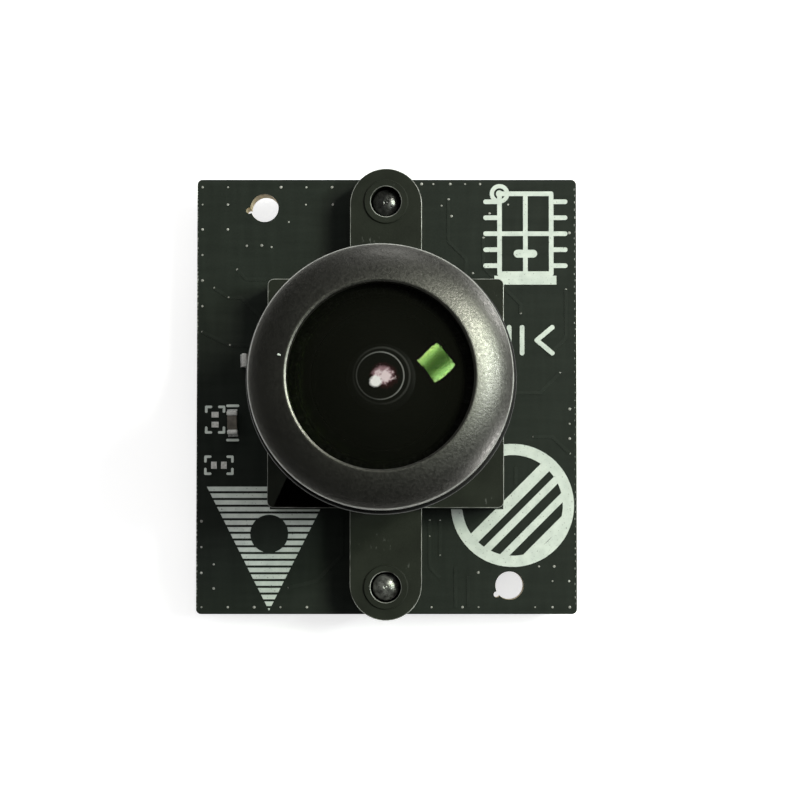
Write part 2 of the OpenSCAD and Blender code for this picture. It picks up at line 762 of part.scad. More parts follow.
module lens_barrel() {
    collar_r = ring_d / 2 - ring_wall;
    thread_r = barrel_d / 2;
    flange_r = flange_d / 2;
    edge = flange_chamfer;
    rear_z = -barrel_len;
    color([0.1, 0.1, 0.1]) translate([0, 0, face_z]) rotate_extrude() difference() {
        polygon([[0, rear_z], [thread_r - barrel_chamfer, rear_z],
                 [thread_r, rear_z + barrel_chamfer], [thread_r, -flange_h - runout_h],
                 [thread_r - runout_depth, -flange_h - runout_h],
                 [thread_r - runout_depth, -flange_h], [flange_r - edge, -flange_h],
                 [flange_r, -flange_h + edge], [flange_r, -edge], [flange_r - edge, 0],
                 [collar_r, 0], [collar_r, collar_h], [0, collar_h]]);
        half(glass_bore_d / 2, -front_seat_depth, collar_h + eps);
        half(upper_bore_d / 2, third_seat, 0);
        half(lower_bore_d / 2 - shoulder_w, rear_z - eps, 0);
        half(lower_bore_d / 2, rear_z - eps, stop_top);
        translate([seal_r - seal_w / 2 - seal_gap, -front_seat_depth - seal_t])
            square([seal_w + 2 * seal_gap, seal_t + eps]);
    }
}

module front_ring() {
    outer_r = ring_d / 2;
    hole_r = ring_opening_d / 2;
    crown_x = hole_r - crown_r * sin(crown_start);
    crown_z = ring_h - crown_r * cos(crown_start);
    color([0.12, 0.12, 0.12]) translate([0, 0, face_z]) rotate_extrude() difference() {
        intersection() {
            translate([hole_r, 0]) square([outer_r - hole_r, ring_h]);
            union() {
                translate([crown_x, crown_z]) circle(r = crown_r, $fn = 200);
                square([outer_r, crown_z + crown_r / 2]);
            }
        }
        half(outer_r - ring_wall, -eps, roof_z);
    }
}

// How far a sphere of radius r falls from its top at distance x from the axis
function sag(r, x) = r - sqrt(r * r - x * x);

module front_element() {
    color([0.2, 0.25, 0.22]) translate([0, 0, face_z]) rotate_extrude() difference() {
        union() {
            half(front_glass_d / 2, -front_seat_depth, roof_z);
            intersection() {
                half(dome_x, 0, front_vertex);
                translate([0, front_vertex - front_dome_r]) circle(r = front_dome_r, $fn = 360);
            }
        }
        translate([0, front_hollow_z]) circle(r = front_hollow_r, $fn = 200);
    }
}

module seal_ring() {
    color([0.05, 0.05, 0.05]) translate([0, 0, face_z]) rotate_extrude()
        translate([seal_r, -front_seat_depth - seal_t / 2]) intersection() {
            circle(d = seal_w, $fn = 48);
            square([seal_w, seal_t], center = true);
        }
}

// An element between two flat seats, with a dome or a hollow on each side.
// A positive height bulges out of the seat, a negative one is a hollow.
module element(d, top, bottom, front_r, front_x, rear_r, rear_x) {
    rotate_extrude() difference() {
        union() {
            half(d / 2, bottom, top);
            if (front_r > 0) intersection() {
                half(front_x, bottom, top + sag(front_r, front_x));
                translate([0, top + sag(front_r, front_x) - front_r]) circle(r = front_r, $fn = 200);
            }
            if (rear_r > 0) intersection() {
                half(rear_x, bottom - sag(rear_r, rear_x), top);
                translate([0, bottom - sag(rear_r, rear_x) + rear_r]) circle(r = rear_r, $fn = 200);
            }
        }
        if (rear_r < 0)
            translate([0, bottom + sag(-rear_r, rear_x) + rear_r]) circle(r = -rear_r, $fn = 200);
    }
}

module second_element() {
    color([0.25, 0.22, 0.3]) translate([0, 0, face_z])
        element(upper_glass_d, second_seat + second_edge_t, second_seat,
                second_front_r, upper_glass_d / 2 - 2 * curve_gap,
                -second_hollow_r, second_hollow_edge);
}

module front_spacer() {
    color([0.08, 0.08, 0.08]) translate([0, 0, face_z])
        tube(upper_glass_d, upper_glass_d - 2 * front_spacer_wall, third_top, second_seat);
}

module third_element() {
    color([0.3, 0.25, 0.35]) translate([0, 0, face_z])
        element(upper_glass_d, third_top, third_seat,
                third_front_r, upper_glass_d / 2 - front_spacer_wall - curve_gap,
                third_rear_r, lower_bore_d / 2 - shoulder_w - 2 * curve_gap);
}

module aperture_stop() {
    color([0.04, 0.04, 0.04]) translate([0, 0, face_z])
        tube(lower_glass_d, stop_hole_d, fourth_top, stop_top);
}

module fourth_element() {
    color([0.3, 0.3, 0.35]) translate([0, 0, face_z])
        element(lower_glass_d, fourth_top, fourth_seat, 0, 0,
                fourth_rear_r, lower_glass_d / 2 - rear_spacer_wall - curve_gap);
}

module rear_spacer() {
    color([0.08, 0.08, 0.08]) translate([0, 0, face_z])
        tube(lower_glass_d, lower_glass_d - 2 * rear_spacer_wall, rear_top, fourth_seat);
}

module rear_element() {
    color([0.3, 0.3, 0.35]) translate([0, 0, face_z])
        element(lower_glass_d, rear_top, rear_seat,
                rear_front_r, lower_glass_d / 2 - rear_spacer_wall - 3 * curve_gap,
                -rear_hollow_r, lower_bore_d / 2 - retainer_wall - curve_gap);
}

module rear_retainer() {
    slot_w = 0.5;
    color([0.08, 0.08, 0.08]) translate([0, 0, face_z]) difference() {
        tube(lower_bore_d, lower_bore_d - 2 * retainer_wall, retainer_seat, rear_seat);
        translate([-lower_bore_d, -slot_w / 2, retainer_seat - eps])
            cube([2 * lower_bore_d, slot_w, retainer_h / 2]);
    }
}

// ---- cable connector: heights count down from the board's back ----

// A block between two heights below the board, from x0 to x1, centred in Y
module hung_block(x0, x1, l, from, to) {
    translate([x0, -l / 2, board_z - to]) cube([x1 - x0, l, to - from]);
}

module at_contacts() {
    for (i = [0 : contact_count - 1])
        translate([0, i * contact_pitch - contact_span / 2, 0]) children();
}

module connector_housing() {
    groove_w = contact_w + 0.04;
    color([0.82, 0.78, 0.68]) difference() {
        hung_block(housing_back, housing_front, housing_l, 0, connector_h);
        hung_block(housing_front - slot_depth, housing_front + eps, slot_l, slot_z, slot_z + slot_h);
        at_contacts() hung_block(housing_back - eps, housing_front + eps, groove_w, -eps, slot_z + eps);
        for (side = [-1, 1])
            translate([0, side * (housing_l - arm_w - latch_gap) / 2, 0])
                hung_block(housing_front - arm_len - latch_gap, housing_front + eps,
                           arm_w + latch_gap + 2 * eps, slot_z - latch_gap, slot_z + arm_h + latch_gap);
    }
}

module connector_contacts() {
    spring_x = housing_front - 0.5;
    color([0.8, 0.7, 0.45]) at_contacts() {
        hung_block(housing_back - tail_len, spring_x, contact_w, 0, tail_t);
        hung_block(housing_back + 0.2, spring_x - 0.6, contact_w, tail_t - eps, slot_z);
    }
}

module connector_latch() {
    tongue_z = slot_z + slot_h - tongue_h - latch_gap;
    bar_top = slot_z - latch_gap;
    color([0.1, 0.1, 0.1]) {
        hung_block(housing_front + latch_gap, latch_x, housing_l, bar_top, connector_h - 0.2);
        hung_block(housing_front - slot_depth + 0.5, latch_x - eps, slot_l - 2 * latch_gap,
                   tongue_z, tongue_z + tongue_h);
        for (side = [-1, 1])
            translate([0, side * (housing_l - arm_w) / 2, 0])
                hung_block(housing_front - arm_len, latch_x - eps, arm_w, slot_z, slot_z + arm_h);
    }
}

// ---- chips on the back ----

// Gull-wing leads along both long sides, at the given places
module gull_leads(count, pitch, body_w, reach, lead_w, mid) {
    lead_t = 0.15;
    for (side = [-1, 1], i = [0 : count - 1])
        translate([0, (i - (count - 1) / 2) * pitch, 0]) mirror([side > 0 ? 0 : 1, 0, 0]) {
            translate([body_w / 2 - 0.05, -lead_w / 2, -mid]) cube([reach * 0.45, lead_w, lead_t]);
            translate([body_w / 2 + reach * 0.45 - 0.05 - lead_t, -lead_w / 2, -mid])
                cube([lead_t, lead_w, mid]);
            translate([body_w / 2 + reach * 0.45 - 0.05 - lead_t, -lead_w / 2, -lead_t])
                cube([reach * 0.55, lead_w, lead_t]);
        }
}

// A moulded body hung below the board, with a stand-off
module hung_body(w, l, h, stand = 0) {
    translate([-w / 2, -l / 2, -h]) cube([w, l, h - stand]);
}

module image_processor() {
    pads = 10;
    pad_pitch = processor_w / 12;
    lead = processor_w / 25;
    color([0.12, 0.12, 0.13]) translate([processor_at[0], processor_at[1], board_z]) {
        hung_body(processor_w, processor_w, processor_h, processor_h / 17);
        for (turn = [0 : 90 : 270], i = [0 : pads - 1])
            rotate(turn)
                translate([processor_w / 2 - lead, (i - (pads - 1) / 2) * pad_pitch - lead / 2, -0.1])
                    cube([lead * 1.2, lead, 0.1]);
    }
}

module flash_memory() {
    color([0.12, 0.12, 0.13]) translate([flash_at[0], flash_at[1], board_z]) {
        hung_body(flash_w, flash_l, flash_h, flash_h / 15);
        gull_leads(4, flash_l / 3.86, flash_w, flash_reach, flash_l / 12, flash_h / 2);
    }
}

module crystal() {
    rim_h = crystal_h * 0.45;
    rim = crystal_w * 0.06;
    color([0.75, 0.75, 0.73]) translate([crystal_at[0], crystal_at[1], board_z]) {
        hung_body(crystal_l, crystal_w, rim_h);
        hung_body(crystal_l - 2 * rim, crystal_w - 2 * rim, crystal_h);
    }
}

module voltage_regulators() {
    color([0.12, 0.12, 0.13]) for (place = regulator_places)
        translate([place[0], place[1], board_z]) rotate(place[2]) {
            hung_body(regulator_w, regulator_l, regulator_h, regulator_h / 14);
            gull_leads(3, regulator_l / 3.05, regulator_w, regulator_reach,
                       regulator_l / 8.3, regulator_h / 2);
        }
}

module power_inductor() {
    pad_h = connector_h * 0.06;
    pad_l = inductor_w / 4;
    color([0.2, 0.2, 0.22]) translate([inductor_at[0], inductor_at[1], board_z]) {
        translate([0, 0, -connector_h]) linear_extrude(connector_h - pad_h)
            rounded_rect(inductor_w, inductor_w, inductor_w / 8);
        for (side = [-1, 1])
            translate([side * (inductor_w - pad_l) / 2 - pad_l / 2, -inductor_w * 0.35, -pad_h - eps])
                cube([pad_l, inductor_w * 0.7, pad_h + eps]);
    }
}

module rear_capacitors() {
    color([0.62, 0.5, 0.35]) for (place = capacitor_places)
        translate([place[0], place[1], board_z]) rotate(place[2]) mirror([0, 0, 1])
            chip(capacitor_l, capacitor_w, capacitor_h);
}

module rear_resistors() {
    color([0.1, 0.1, 0.1]) for (place = resistor_places)
        translate([place[0], place[1], board_z]) rotate(place[2]) mirror([0, 0, 1])
            chip(resistor_l, resistor_w, resistor_h);
}

circuit_board();
printed_marks();
bare_pads();
front_capacitor();
side_component();
sensor_package();
sensor_die();
sensor_cover_glass();
infrared_filter();
lens_holder();
upper_screw();
lower_screw();
lens_barrel();
front_ring();
front_element();
seal_ring();
second_element();
front_spacer();
third_element();
aperture_stop();
fourth_element();
rear_spacer();
rear_element();
rear_retainer();
connector_housing();
connector_contacts();
connector_latch();
image_processor();
flash_memory();
crystal();
voltage_regulators();
power_inductor();
rear_capacitors();
rear_resistors();
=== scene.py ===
"""Looks of a board camera module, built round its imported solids.

Everything is in metres in the solids' own frame. Sizes in the classes are millimetres,
and each class turns them to metres where it builds its meshes.
"""

import logging
import math
from dataclasses import dataclass
from enum import Enum
from typing import Callable, Iterable, Sequence

import bmesh
import bpy
from mathutils import Matrix, Vector


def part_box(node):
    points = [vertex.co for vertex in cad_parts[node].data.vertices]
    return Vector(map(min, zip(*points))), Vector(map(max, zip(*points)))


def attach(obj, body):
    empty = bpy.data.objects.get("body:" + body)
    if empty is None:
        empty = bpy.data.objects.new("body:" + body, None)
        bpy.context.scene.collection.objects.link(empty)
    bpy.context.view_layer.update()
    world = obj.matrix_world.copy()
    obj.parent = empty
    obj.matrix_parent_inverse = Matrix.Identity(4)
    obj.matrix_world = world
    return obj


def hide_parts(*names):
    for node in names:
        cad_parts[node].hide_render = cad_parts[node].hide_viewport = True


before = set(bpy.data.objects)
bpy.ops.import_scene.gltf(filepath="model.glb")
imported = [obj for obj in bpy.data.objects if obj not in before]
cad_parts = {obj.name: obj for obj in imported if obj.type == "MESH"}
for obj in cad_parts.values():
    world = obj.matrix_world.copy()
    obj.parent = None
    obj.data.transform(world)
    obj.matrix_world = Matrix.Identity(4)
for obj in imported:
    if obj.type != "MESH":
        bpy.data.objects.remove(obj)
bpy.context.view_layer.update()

MM = 0.001
SMOOTH_BELOW = 32.0  # degrees
MERGE_WITHIN = 2e-7  # metres
FLAT_TURN, CREASE_TURN = 0.02, 0.56  # radians; a curve's facets turn by more and by less
LOG = logging.getLogger("camera_module")

Colour = tuple[float, float, float]
Point = tuple[float, float]


class Body(Enum):
    """The bodies that pieces ride on."""

    MODULE = "module"
    LENS = "lens"
    LATCH = "latch"


class Slot(Enum):
    """The material slots of the part's record."""

    MASK = "solder_mask"
    INK = "white_ink"
    PAD = "tinned_pad"
    CERAMIC = "chip_ceramic"
    GLAZE = "resistor_glaze"
    PACKAGE = "sensor_ceramic"
    SILICON = "silicon"
    CLEAR = "clear_glass"
    FILTER = "filter_glass"
    HOLDER = "holder_plastic"
    SCREW = "screw_steel"
    BRIGHT_SCREW = "bright_screw"
    BARREL = "barrel_black"
    RING = "ring_black"
    FRONT_GLASS = "front_glass"
    INNER_GLASS = "inner_glass"
    RUBBER = "seal_rubber"
    FLOCK = "flock_black"
    CONNECTOR = "connector_beige"
    CONTACT = "contact_gold"
    LATCH = "latch_black"
    EPOXY = "chip_epoxy"
    CAN = "crystal_can"
    FERRITE = "ferrite"


# ---------------------------------------------------------------- finishes


class Shader:
    """A material's node tree, with short calls for the nodes that the finishes use."""

    def __init__(self, name: str) -> None:
        """Starts a material that holds only a Principled shader and its output."""
        self.material = bpy.data.materials.new(name)
        self.material.use_nodes = True
        self.tree = self.material.node_tree
        self.tree.nodes.clear()
        self.out = self.tree.nodes.new("ShaderNodeOutputMaterial")
        self.surface = self.tree.nodes.new("ShaderNodeBsdfPrincipled")
        self.tree.links.new(self.surface.outputs[0], self.out.inputs["Surface"])
        self.coords = self.tree.nodes.new("ShaderNodeTexCoord").outputs["Object"]

    def set(self, **values: float | Colour) -> None:
        """Sets the Principled shader's own sockets, named with underscores for spaces."""
        for name, value in values.items():
            socket = self.surface.inputs[name.replace("_", " ")]
            if isinstance(value, tuple):
                value = (*value, 1.0)
            socket.default_value = value

    def node(self, kind: str, **settings: object) -> bpy.types.Node:
        """Adds a node and sets its properties."""
        made = self.tree.nodes.new(kind)
        for name, value in settings.items():
            setattr(made, name, value)
        return made

    def link(self, out: bpy.types.NodeSocket, to: bpy.types.NodeSocket | str) -> None:
        """Links an output to a socket, or to the Principled socket of that name."""
        if isinstance(to, str):
            to = self.surface.inputs[to]
        self.tree.links.new(out, to)

    def stretched(self, scale: tuple[float, float, float]) -> bpy.types.NodeSocket:
        """Object coordinates, scaled along each axis.

        Args:
            scale: the factor along X, Y and Z.

        Returns:
            The scaled coordinates.
        """
        mapping = self.node("ShaderNodeMapping")
        mapping.inputs["Scale"].default_value = scale
        self.link(self.coords, mapping.inputs["Vector"])
        return mapping.outputs[0]

    def noise(
        self,
        grain_mm: float,
        detail: float = 3.0,
        coords: bpy.types.NodeSocket | None = None,
    ) -> bpy.types.NodeSocket:
        """Noise of a given grain.

        Args:
            grain_mm: size of one blotch, in millimetres.
            detail: number of finer layers.
            coords: coordinates to read, or the object's own.

        Returns:
            The noise, from 0 to 1.
        """
        made = self.node("ShaderNodeTexNoise")
        made.inputs["Scale"].default_value = 1.0 / (grain_mm * MM)
        made.inputs["Detail"].default_value = detail
        self.link(coords or self.coords, made.inputs["Vector"])
        return made.outputs[0]

    def blend(
        self, factor: bpy.types.NodeSocket, stops: Sequence[tuple[float, Colour]]
    ) -> bpy.types.NodeSocket:
        """Colours spread along a factor.

        Args:
            factor: the value that picks the colour.
            stops: places from 0 to 1 with their colours.

        Returns:
            The colour.
        """
        ramp = self.node("ShaderNodeValToRGB")
        elements = ramp.color_ramp.elements
        while len(elements) < len(stops):
            elements.new(0.5)
        for element, (place, colour) in zip(elements, stops):
            element.position = place
            element.color = (*colour, 1.0)
        self.link(factor, ramp.inputs[0])
        return ramp.outputs[0]

    def span(
        self, value: bpy.types.NodeSocket, from_span: Point, to_span: Point
    ) -> bpy.types.NodeSocket:
        """Maps one span of values to another, held at both ends.

        Args:
            value: the value to map.
            from_span: the two ends that it comes from.
            to_span: the two ends that it goes to.

        Returns:
            The mapped value.
        """
        mapped = self.node("ShaderNodeMapRange")
        for name, end in zip(
            ("From Min", "From Max", "To Min", "To Max"), (*from_span, *to_span)
        ):
            mapped.inputs[name].default_value = end
        self.link(value, mapped.inputs["Value"])
        return mapped.outputs[0]

    def math(
        self, operation: str, first: bpy.types.NodeSocket, second: bpy.types.NodeSocket | float
    ) -> bpy.types.NodeSocket:
        """One arithmetic step.

        Args:
            operation: the Math node's operation.
            first: the first value.
            second: the second value, a socket or a number.

        Returns:
            The result.
        """
        made = self.node("ShaderNodeMath", operation=operation)
        self.link(first, made.inputs[0])
        if isinstance(second, (int, float)):
            made.inputs[1].default_value = second
        else:
            self.link(second, made.inputs[1])
        return made.outputs[0]

    def bump(self, height: bpy.types.NodeSocket, depth_mm: float) -> None:
        """Raises the surface by a height from 0 to 1, times a depth."""
        made = self.node("ShaderNodeBump")
        made.inputs["Strength"].default_value = 1.0
        made.inputs["Distance"].default_value = depth_mm * MM
        self.link(height, made.inputs["Height"])
        self.link(made.outputs[0], "Normal")


@dataclass(frozen=True)
class Finish:
    """A surface broken up by noise: blotches of colour, a fine grain and its roughness."""

    name: str
    dark: Colour
    light: Colour
    blotch_mm: float = 1.2
    grain_mm: float = 0.08
    depth_mm: float = 0.004
    rough: Point = (0.42, 0.55)
    metal: float = 0.0
    reflect: float = 0.5
    ior: float = 1.5
    tint: Colour = (1.0, 1.0, 1.0)

    def shader(self) -> Shader:
        """The node tree, ready for a finish of its own kind to add to."""
        made = Shader(self.name)
        made.set(
            Metallic=self.metal,
            Specular_IOR_Level=self.reflect,
            IOR=self.ior,
            Specular_Tint=self.tint,
        )
        blotch = made.noise(self.blotch_mm, 4.0)
        grain = made.noise(self.grain_mm, 2.0)
        made.link(made.blend(blotch, [(0.32, self.dark), (0.68, self.light)]), "Base Color")
        made.link(made.span(grain, (0.3, 0.7), self.rough), "Roughness")
        if self.depth_mm > 0.0:
            made.bump(grain, self.depth_mm)
        return made

    def material(self) -> bpy.types.Material:
        """The finished material."""
        return self.shader().material


@dataclass(frozen=True)
class Moulding(Finish):
    """Moulded plastic with a few small light scuffs."""

    scuff: Colour = (0.09, 0.095, 0.085)

    def shader(self) -> Shader:
        """The base finish with sparse scuffs over it."""
        made = super().shader()
        body = made.surface.inputs["Base Color"].links[0].from_socket
        patch = made.span(made.noise(1.3, 2.0), (0.6, 0.72), (0.0, 1.0))
        marks = made.span(made.noise(0.16, 3.0, made.stretched((1.0, 0.45, 1.0))), (0.6, 0.68),
                          (0.0, 0.8))
        mix = made.node("ShaderNodeMix", data_type="RGBA")
        mix.inputs["B"].default_value = (*self.scuff, 1.0)
        made.link(made.math("MULTIPLY", patch, marks), mix.inputs["Factor"])
        made.link(body, mix.inputs["A"])
        made.link(mix.outputs["Result"], "Base Color")
        return made


@dataclass(frozen=True)
class Laminate(Finish):
    """The board's cut edge: glass cloth in resin, in level layers."""

    layer_mm: float = 0.18

    def shader(self) -> Shader:
        """The base finish with level layers over it."""
        made = super().shader()
        layers = made.noise(self.layer_mm, 2.0, made.stretched((0.05, 0.05, 1.0)))
        cloth = made.noise(self.grain_mm, 3.0, made.stretched((0.4, 0.4, 1.6)))
        mixed = made.math("ADD", made.math("MULTIPLY", layers, 0.6),
                          made.math("MULTIPLY", cloth, 0.4))
        made.link(made.blend(mixed, [(0.36, self.dark), (0.62, self.light)]), "Base Color")
        return made


@dataclass(frozen=True)
class Mask(Finish):
    """Solder mask: a thin glossy film in which the glass cloth shows as a faint weave."""

    weave_mm: float = 0.45

    def shader(self) -> Shader:
        """The base finish with the cloth's two thread directions under it."""
        made = super().shader()
        warp = made.noise(self.weave_mm, 1.0, made.stretched((1.0, 0.12, 1.0)))
        weft = made.noise(self.weave_mm, 1.0, made.stretched((0.12, 1.0, 1.0)))
        weave = made.math("MULTIPLY", made.math("ADD", warp, weft), 0.5)
        fine = made.noise(self.grain_mm, 3.0)
        made.link(
            made.blend(
                made.math("ADD", made.math("MULTIPLY", weave, 0.6),
                          made.math("MULTIPLY", fine, 0.4)),
                [(0.36, self.dark), (0.64, self.light)],
            ),
            "Base Color",
        )
        made.bump(made.math("ADD", made.math("MULTIPLY", weave, 0.7),
                            made.math("MULTIPLY", fine, 0.3)), self.depth_mm)
        return made


@dataclass(frozen=True)
class Ink(Finish):
    """Screen-printed ink, a little thin in places."""

    under: Colour = (0.05, 0.055, 0.05)

    def shader(self) -> Shader:
        """The base finish with small thin places that show what lies under it."""
        made = super().shader()
        thin = made.span(made.noise(0.11, 3.0), (0.27, 0.36), (0.0, 1.0))
        body = made.surface.inputs["Base Color"].links[0].from_socket
        mix = made.node("ShaderNodeMix", data_type="RGBA")
        mix.inputs["A"].default_value = (*self.under, 1.0)
        made.link(thin, mix.inputs["Factor"])
        made.link(body, mix.inputs["B"])
        made.link(mix.outputs["Result"], "Base Color")
        return made


@dataclass(frozen=True)
class Glass(Finish):
    """Coated lens glass: its reflections take the coating's tint, and it lets light through."""

    opacity: float = 1.0

    def shader(self) -> Shader:
        """The base finish, made clear."""
        made = super().shader()
        made.set(Alpha=self.opacity)
        return made


@dataclass(frozen=True)
class Layer:
    """One soft-edged oval or ring of colour, in millimetres from the lens axis; the ovals are a
    painted reflection and the rings are painted highlights.
    """

    colour: Colour
    centre: Point
    half: Point
    edge: Point
    ragged: float = 0.2
    ring: float = 0.0
    lit_from: float = 0.0


@dataclass(frozen=True)
class PaintedReflectionDish(Finish):
    """The innermost glass that shows, painted with a pale patch, its red rim and two rings: a
    painted reflection and two painted ring highlights.
    """

    layers: tuple[Layer, ...] = (
        # painted reflection: a dark red rim, a pink patch and a white spot in the middle; then
        # two rings with painted highlights
        Layer((0.045, 0.007, 0.01), (0.16, 0.14), (0.8, 0.72), (1.0, 0.45), 0.1),
        Layer((0.34, 0.2, 0.23), (0.1, 0.17), (0.62, 0.54), (1.0, 0.72), 0.12),
        Layer((0.86, 0.7, 0.74), (0.16, 0.1), (0.5, 0.38), (1.0, 0.5), 0.42),
        Layer((1.0, 0.97, 0.97), (-0.28, -0.16), (0.36, 0.34), (1.0, 0.66), 0.1),
        Layer((0.24, 0.24, 0.23), (-0.04, 0.13), (1.22, 1.22), (0.05, 0.01), 0.0, 1.22, 20.0),
        Layer((0.045, 0.045, 0.042), (0.03, 0.13), (1.45, 1.45), (0.08, 0.0), 0.0, 1.45, 30.0),
    )

    def shader(self) -> Shader:
        """The base finish with each layer laid over the ones before it."""
        made = super().shader()
        colour = made.surface.inputs["Base Color"].links[0].from_socket
        for layer in self.layers:
            mix = made.node("ShaderNodeMix", data_type="RGBA")
            mix.inputs["B"].default_value = (*layer.colour, 1.0)
            made.link(self.share(made, layer), mix.inputs["Factor"])
            made.link(colour, mix.inputs["A"])
            colour = mix.outputs["Result"]
        made.link(colour, "Base Color")
        return made

    def share(self, made: Shader, layer: Layer) -> bpy.types.NodeSocket:
        """How much of a layer shows at each place.

        Args:
            made: the shader that it belongs to.
            layer: the oval or ring.

        Returns:
            The share, from 0 to 1.
        """
        mapping = made.node("ShaderNodeMapping")
        mapping.inputs["Location"].default_value = (
            -layer.centre[0] / layer.half[0], -layer.centre[1] / layer.half[1], 0.0)
        mapping.inputs["Scale"].default_value = (
            1.0 / (layer.half[0] * MM), 1.0 / (layer.half[1] * MM), 0.0)
        made.link(made.coords, mapping.inputs["Vector"])
        length = made.node("ShaderNodeVectorMath", operation="LENGTH")
        made.link(mapping.outputs[0], length.inputs[0])
        reach = length.outputs["Value"]
        if layer.ragged:
            reach = made.math("ADD", reach, made.span(made.noise(0.16, 3.0), (0.3, 0.7),
                                                      (-layer.ragged, layer.ragged)))
        if not layer.ring:
            return made.span(reach, layer.edge, (0.0, 1.0))
        off = made.math("ABSOLUTE", made.math("SUBTRACT", reach, 1.0), 0.0)
        line = made.span(off, tuple(edge / layer.ring for edge in layer.edge), (0.0, 1.0))
        # painted highlight: each ring is lighter on the side that faces lit_from
        lit = made.node("ShaderNodeVectorMath", operation="DOT_PRODUCT")
        lean = math.radians(layer.lit_from)
        lit.inputs[1].default_value = (math.cos(lean), math.sin(lean), 0.0)
        made.link(mapping.outputs[0], lit.inputs[0])
        return made.math("MULTIPLY", line,
                         made.span(lit.outputs["Value"], (-0.6, 0.7), (0.16, 1.0)))


FINISHES: dict[Slot, Finish] = {
    Slot.MASK: Mask("solder_mask", (0.0105, 0.0145, 0.0105), (0.0165, 0.0218, 0.0162), 3.0, 0.09,
                    0.002, (0.42, 0.56), reflect=0.2),
    Slot.INK: Ink("white_ink", (0.52, 0.57, 0.52), (0.62, 0.67, 0.61), 0.5, 0.05, 0.003,
                  (0.55, 0.7), reflect=0.2),
    Slot.PAD: Finish("tinned_pad", (0.55, 0.55, 0.51), (0.84, 0.83, 0.79), 0.15, 0.05, 0.01,
                     (0.3, 0.5), metal=0.25),
    Slot.CERAMIC: Finish("chip_ceramic", (0.27, 0.19, 0.11), (0.42, 0.31, 0.19), 0.4, 0.05,
                         0.004, (0.35, 0.5)),
    Slot.GLAZE: Finish("resistor_glaze", (0.012, 0.012, 0.014), (0.022, 0.022, 0.025), 0.3,
                       0.05, 0.003, (0.18, 0.3)),
    Slot.PACKAGE: Finish("sensor_ceramic", (0.02, 0.02, 0.022), (0.04, 0.04, 0.045), 1.0, 0.08),
    Slot.SILICON: Finish("silicon", (0.05, 0.04, 0.08), (0.12, 0.08, 0.16), 0.8, 0.1, 0.0005,
                         (0.08, 0.15), metal=0.6),
    Slot.CLEAR: Glass("clear_glass", (0.8, 0.85, 0.86), (0.85, 0.9, 0.9), 3.0, 1.0, 0.0,
                      (0.02, 0.04), opacity=0.25),
    Slot.FILTER: Glass("filter_glass", (0.3, 0.12, 0.16), (0.36, 0.16, 0.2), 3.0, 1.0, 0.0,
                       (0.02, 0.04), tint=(1.0, 0.45, 0.6), opacity=0.5),
    Slot.HOLDER: Moulding("holder_plastic", (0.0115, 0.0138, 0.009), (0.0172, 0.0205, 0.0138),
                        1.6, 0.11, 0.006, (0.5, 0.64), reflect=0.15),
    Slot.SCREW: Finish("screw_steel", (0.03, 0.03, 0.032), (0.09, 0.09, 0.092), 0.3, 0.08,
                       0.008, (0.24, 0.38), metal=0.7, reflect=0.8),
    # a lighter copy of screw_steel for the lower screw: painted reflection
    Slot.BRIGHT_SCREW: Finish("bright_screw", (0.05, 0.05, 0.052), (0.13, 0.13, 0.13), 0.3, 0.08,
                              0.008, (0.24, 0.38), metal=0.8, reflect=0.8),
    Slot.BARREL: Finish("barrel_black", (0.006, 0.006, 0.0058), (0.011, 0.011, 0.0105), 1.5, 0.06,
                        0.004, (0.4, 0.52), reflect=0.12),
    Slot.RING: Finish("ring_black", (0.002, 0.002, 0.0014), (0.0045, 0.0046, 0.0034), 2.0, 0.15,
                      0.009, (0.34, 0.46), reflect=1.0, ior=1.7, tint=(1.0, 0.975, 0.91)),
    Slot.FRONT_GLASS: Glass("front_glass", (0.018, 0.019, 0.014), (0.022, 0.023, 0.017),
                            4.0, 2.0, 0.0, (0.0, 0.004), reflect=0.75, tint=(0.56, 1.0, 0.28),
                            opacity=0.2),
    Slot.INNER_GLASS: Finish("inner_glass", (0.0012, 0.0012, 0.001), (0.0016, 0.0016, 0.0014),
                             1.0, 0.1, 0.001, (0.6, 0.7), reflect=0.0),
    Slot.RUBBER: Finish("seal_rubber", (0.006, 0.006, 0.006), (0.012, 0.012, 0.012), 0.8, 0.1),
    Slot.FLOCK: Finish("flock_black", (0.0012, 0.0012, 0.001), (0.002, 0.002, 0.0017), 0.6, 0.05,
                       0.01, (0.8, 0.95), reflect=0.0),
    Slot.CONNECTOR: Finish("connector_beige", (0.52, 0.46, 0.34), (0.64, 0.58, 0.45), 1.8, 0.12,
                           0.005, (0.4, 0.52)),
    Slot.CONTACT: Finish("contact_gold", (0.62, 0.5, 0.26), (0.8, 0.68, 0.38), 0.2, 0.05,
                         0.003, (0.2, 0.32), metal=0.9),
    Slot.LATCH: Finish("latch_black", (0.008, 0.008, 0.009), (0.016, 0.016, 0.017), 1.4, 0.1,
                       0.005, (0.38, 0.5)),
    Slot.EPOXY: Finish("chip_epoxy", (0.01, 0.01, 0.011), (0.02, 0.02, 0.021), 1.2, 0.06, 0.006,
                       (0.5, 0.62)),
    Slot.CAN: Finish("crystal_can", (0.5, 0.5, 0.48), (0.68, 0.67, 0.64), 0.9, 0.06, 0.002,
                     (0.22, 0.34), metal=0.9),
    Slot.FERRITE: Finish("ferrite", (0.03, 0.032, 0.035), (0.07, 0.072, 0.075), 0.5, 0.09,
                         0.01, (0.55, 0.7)),
}

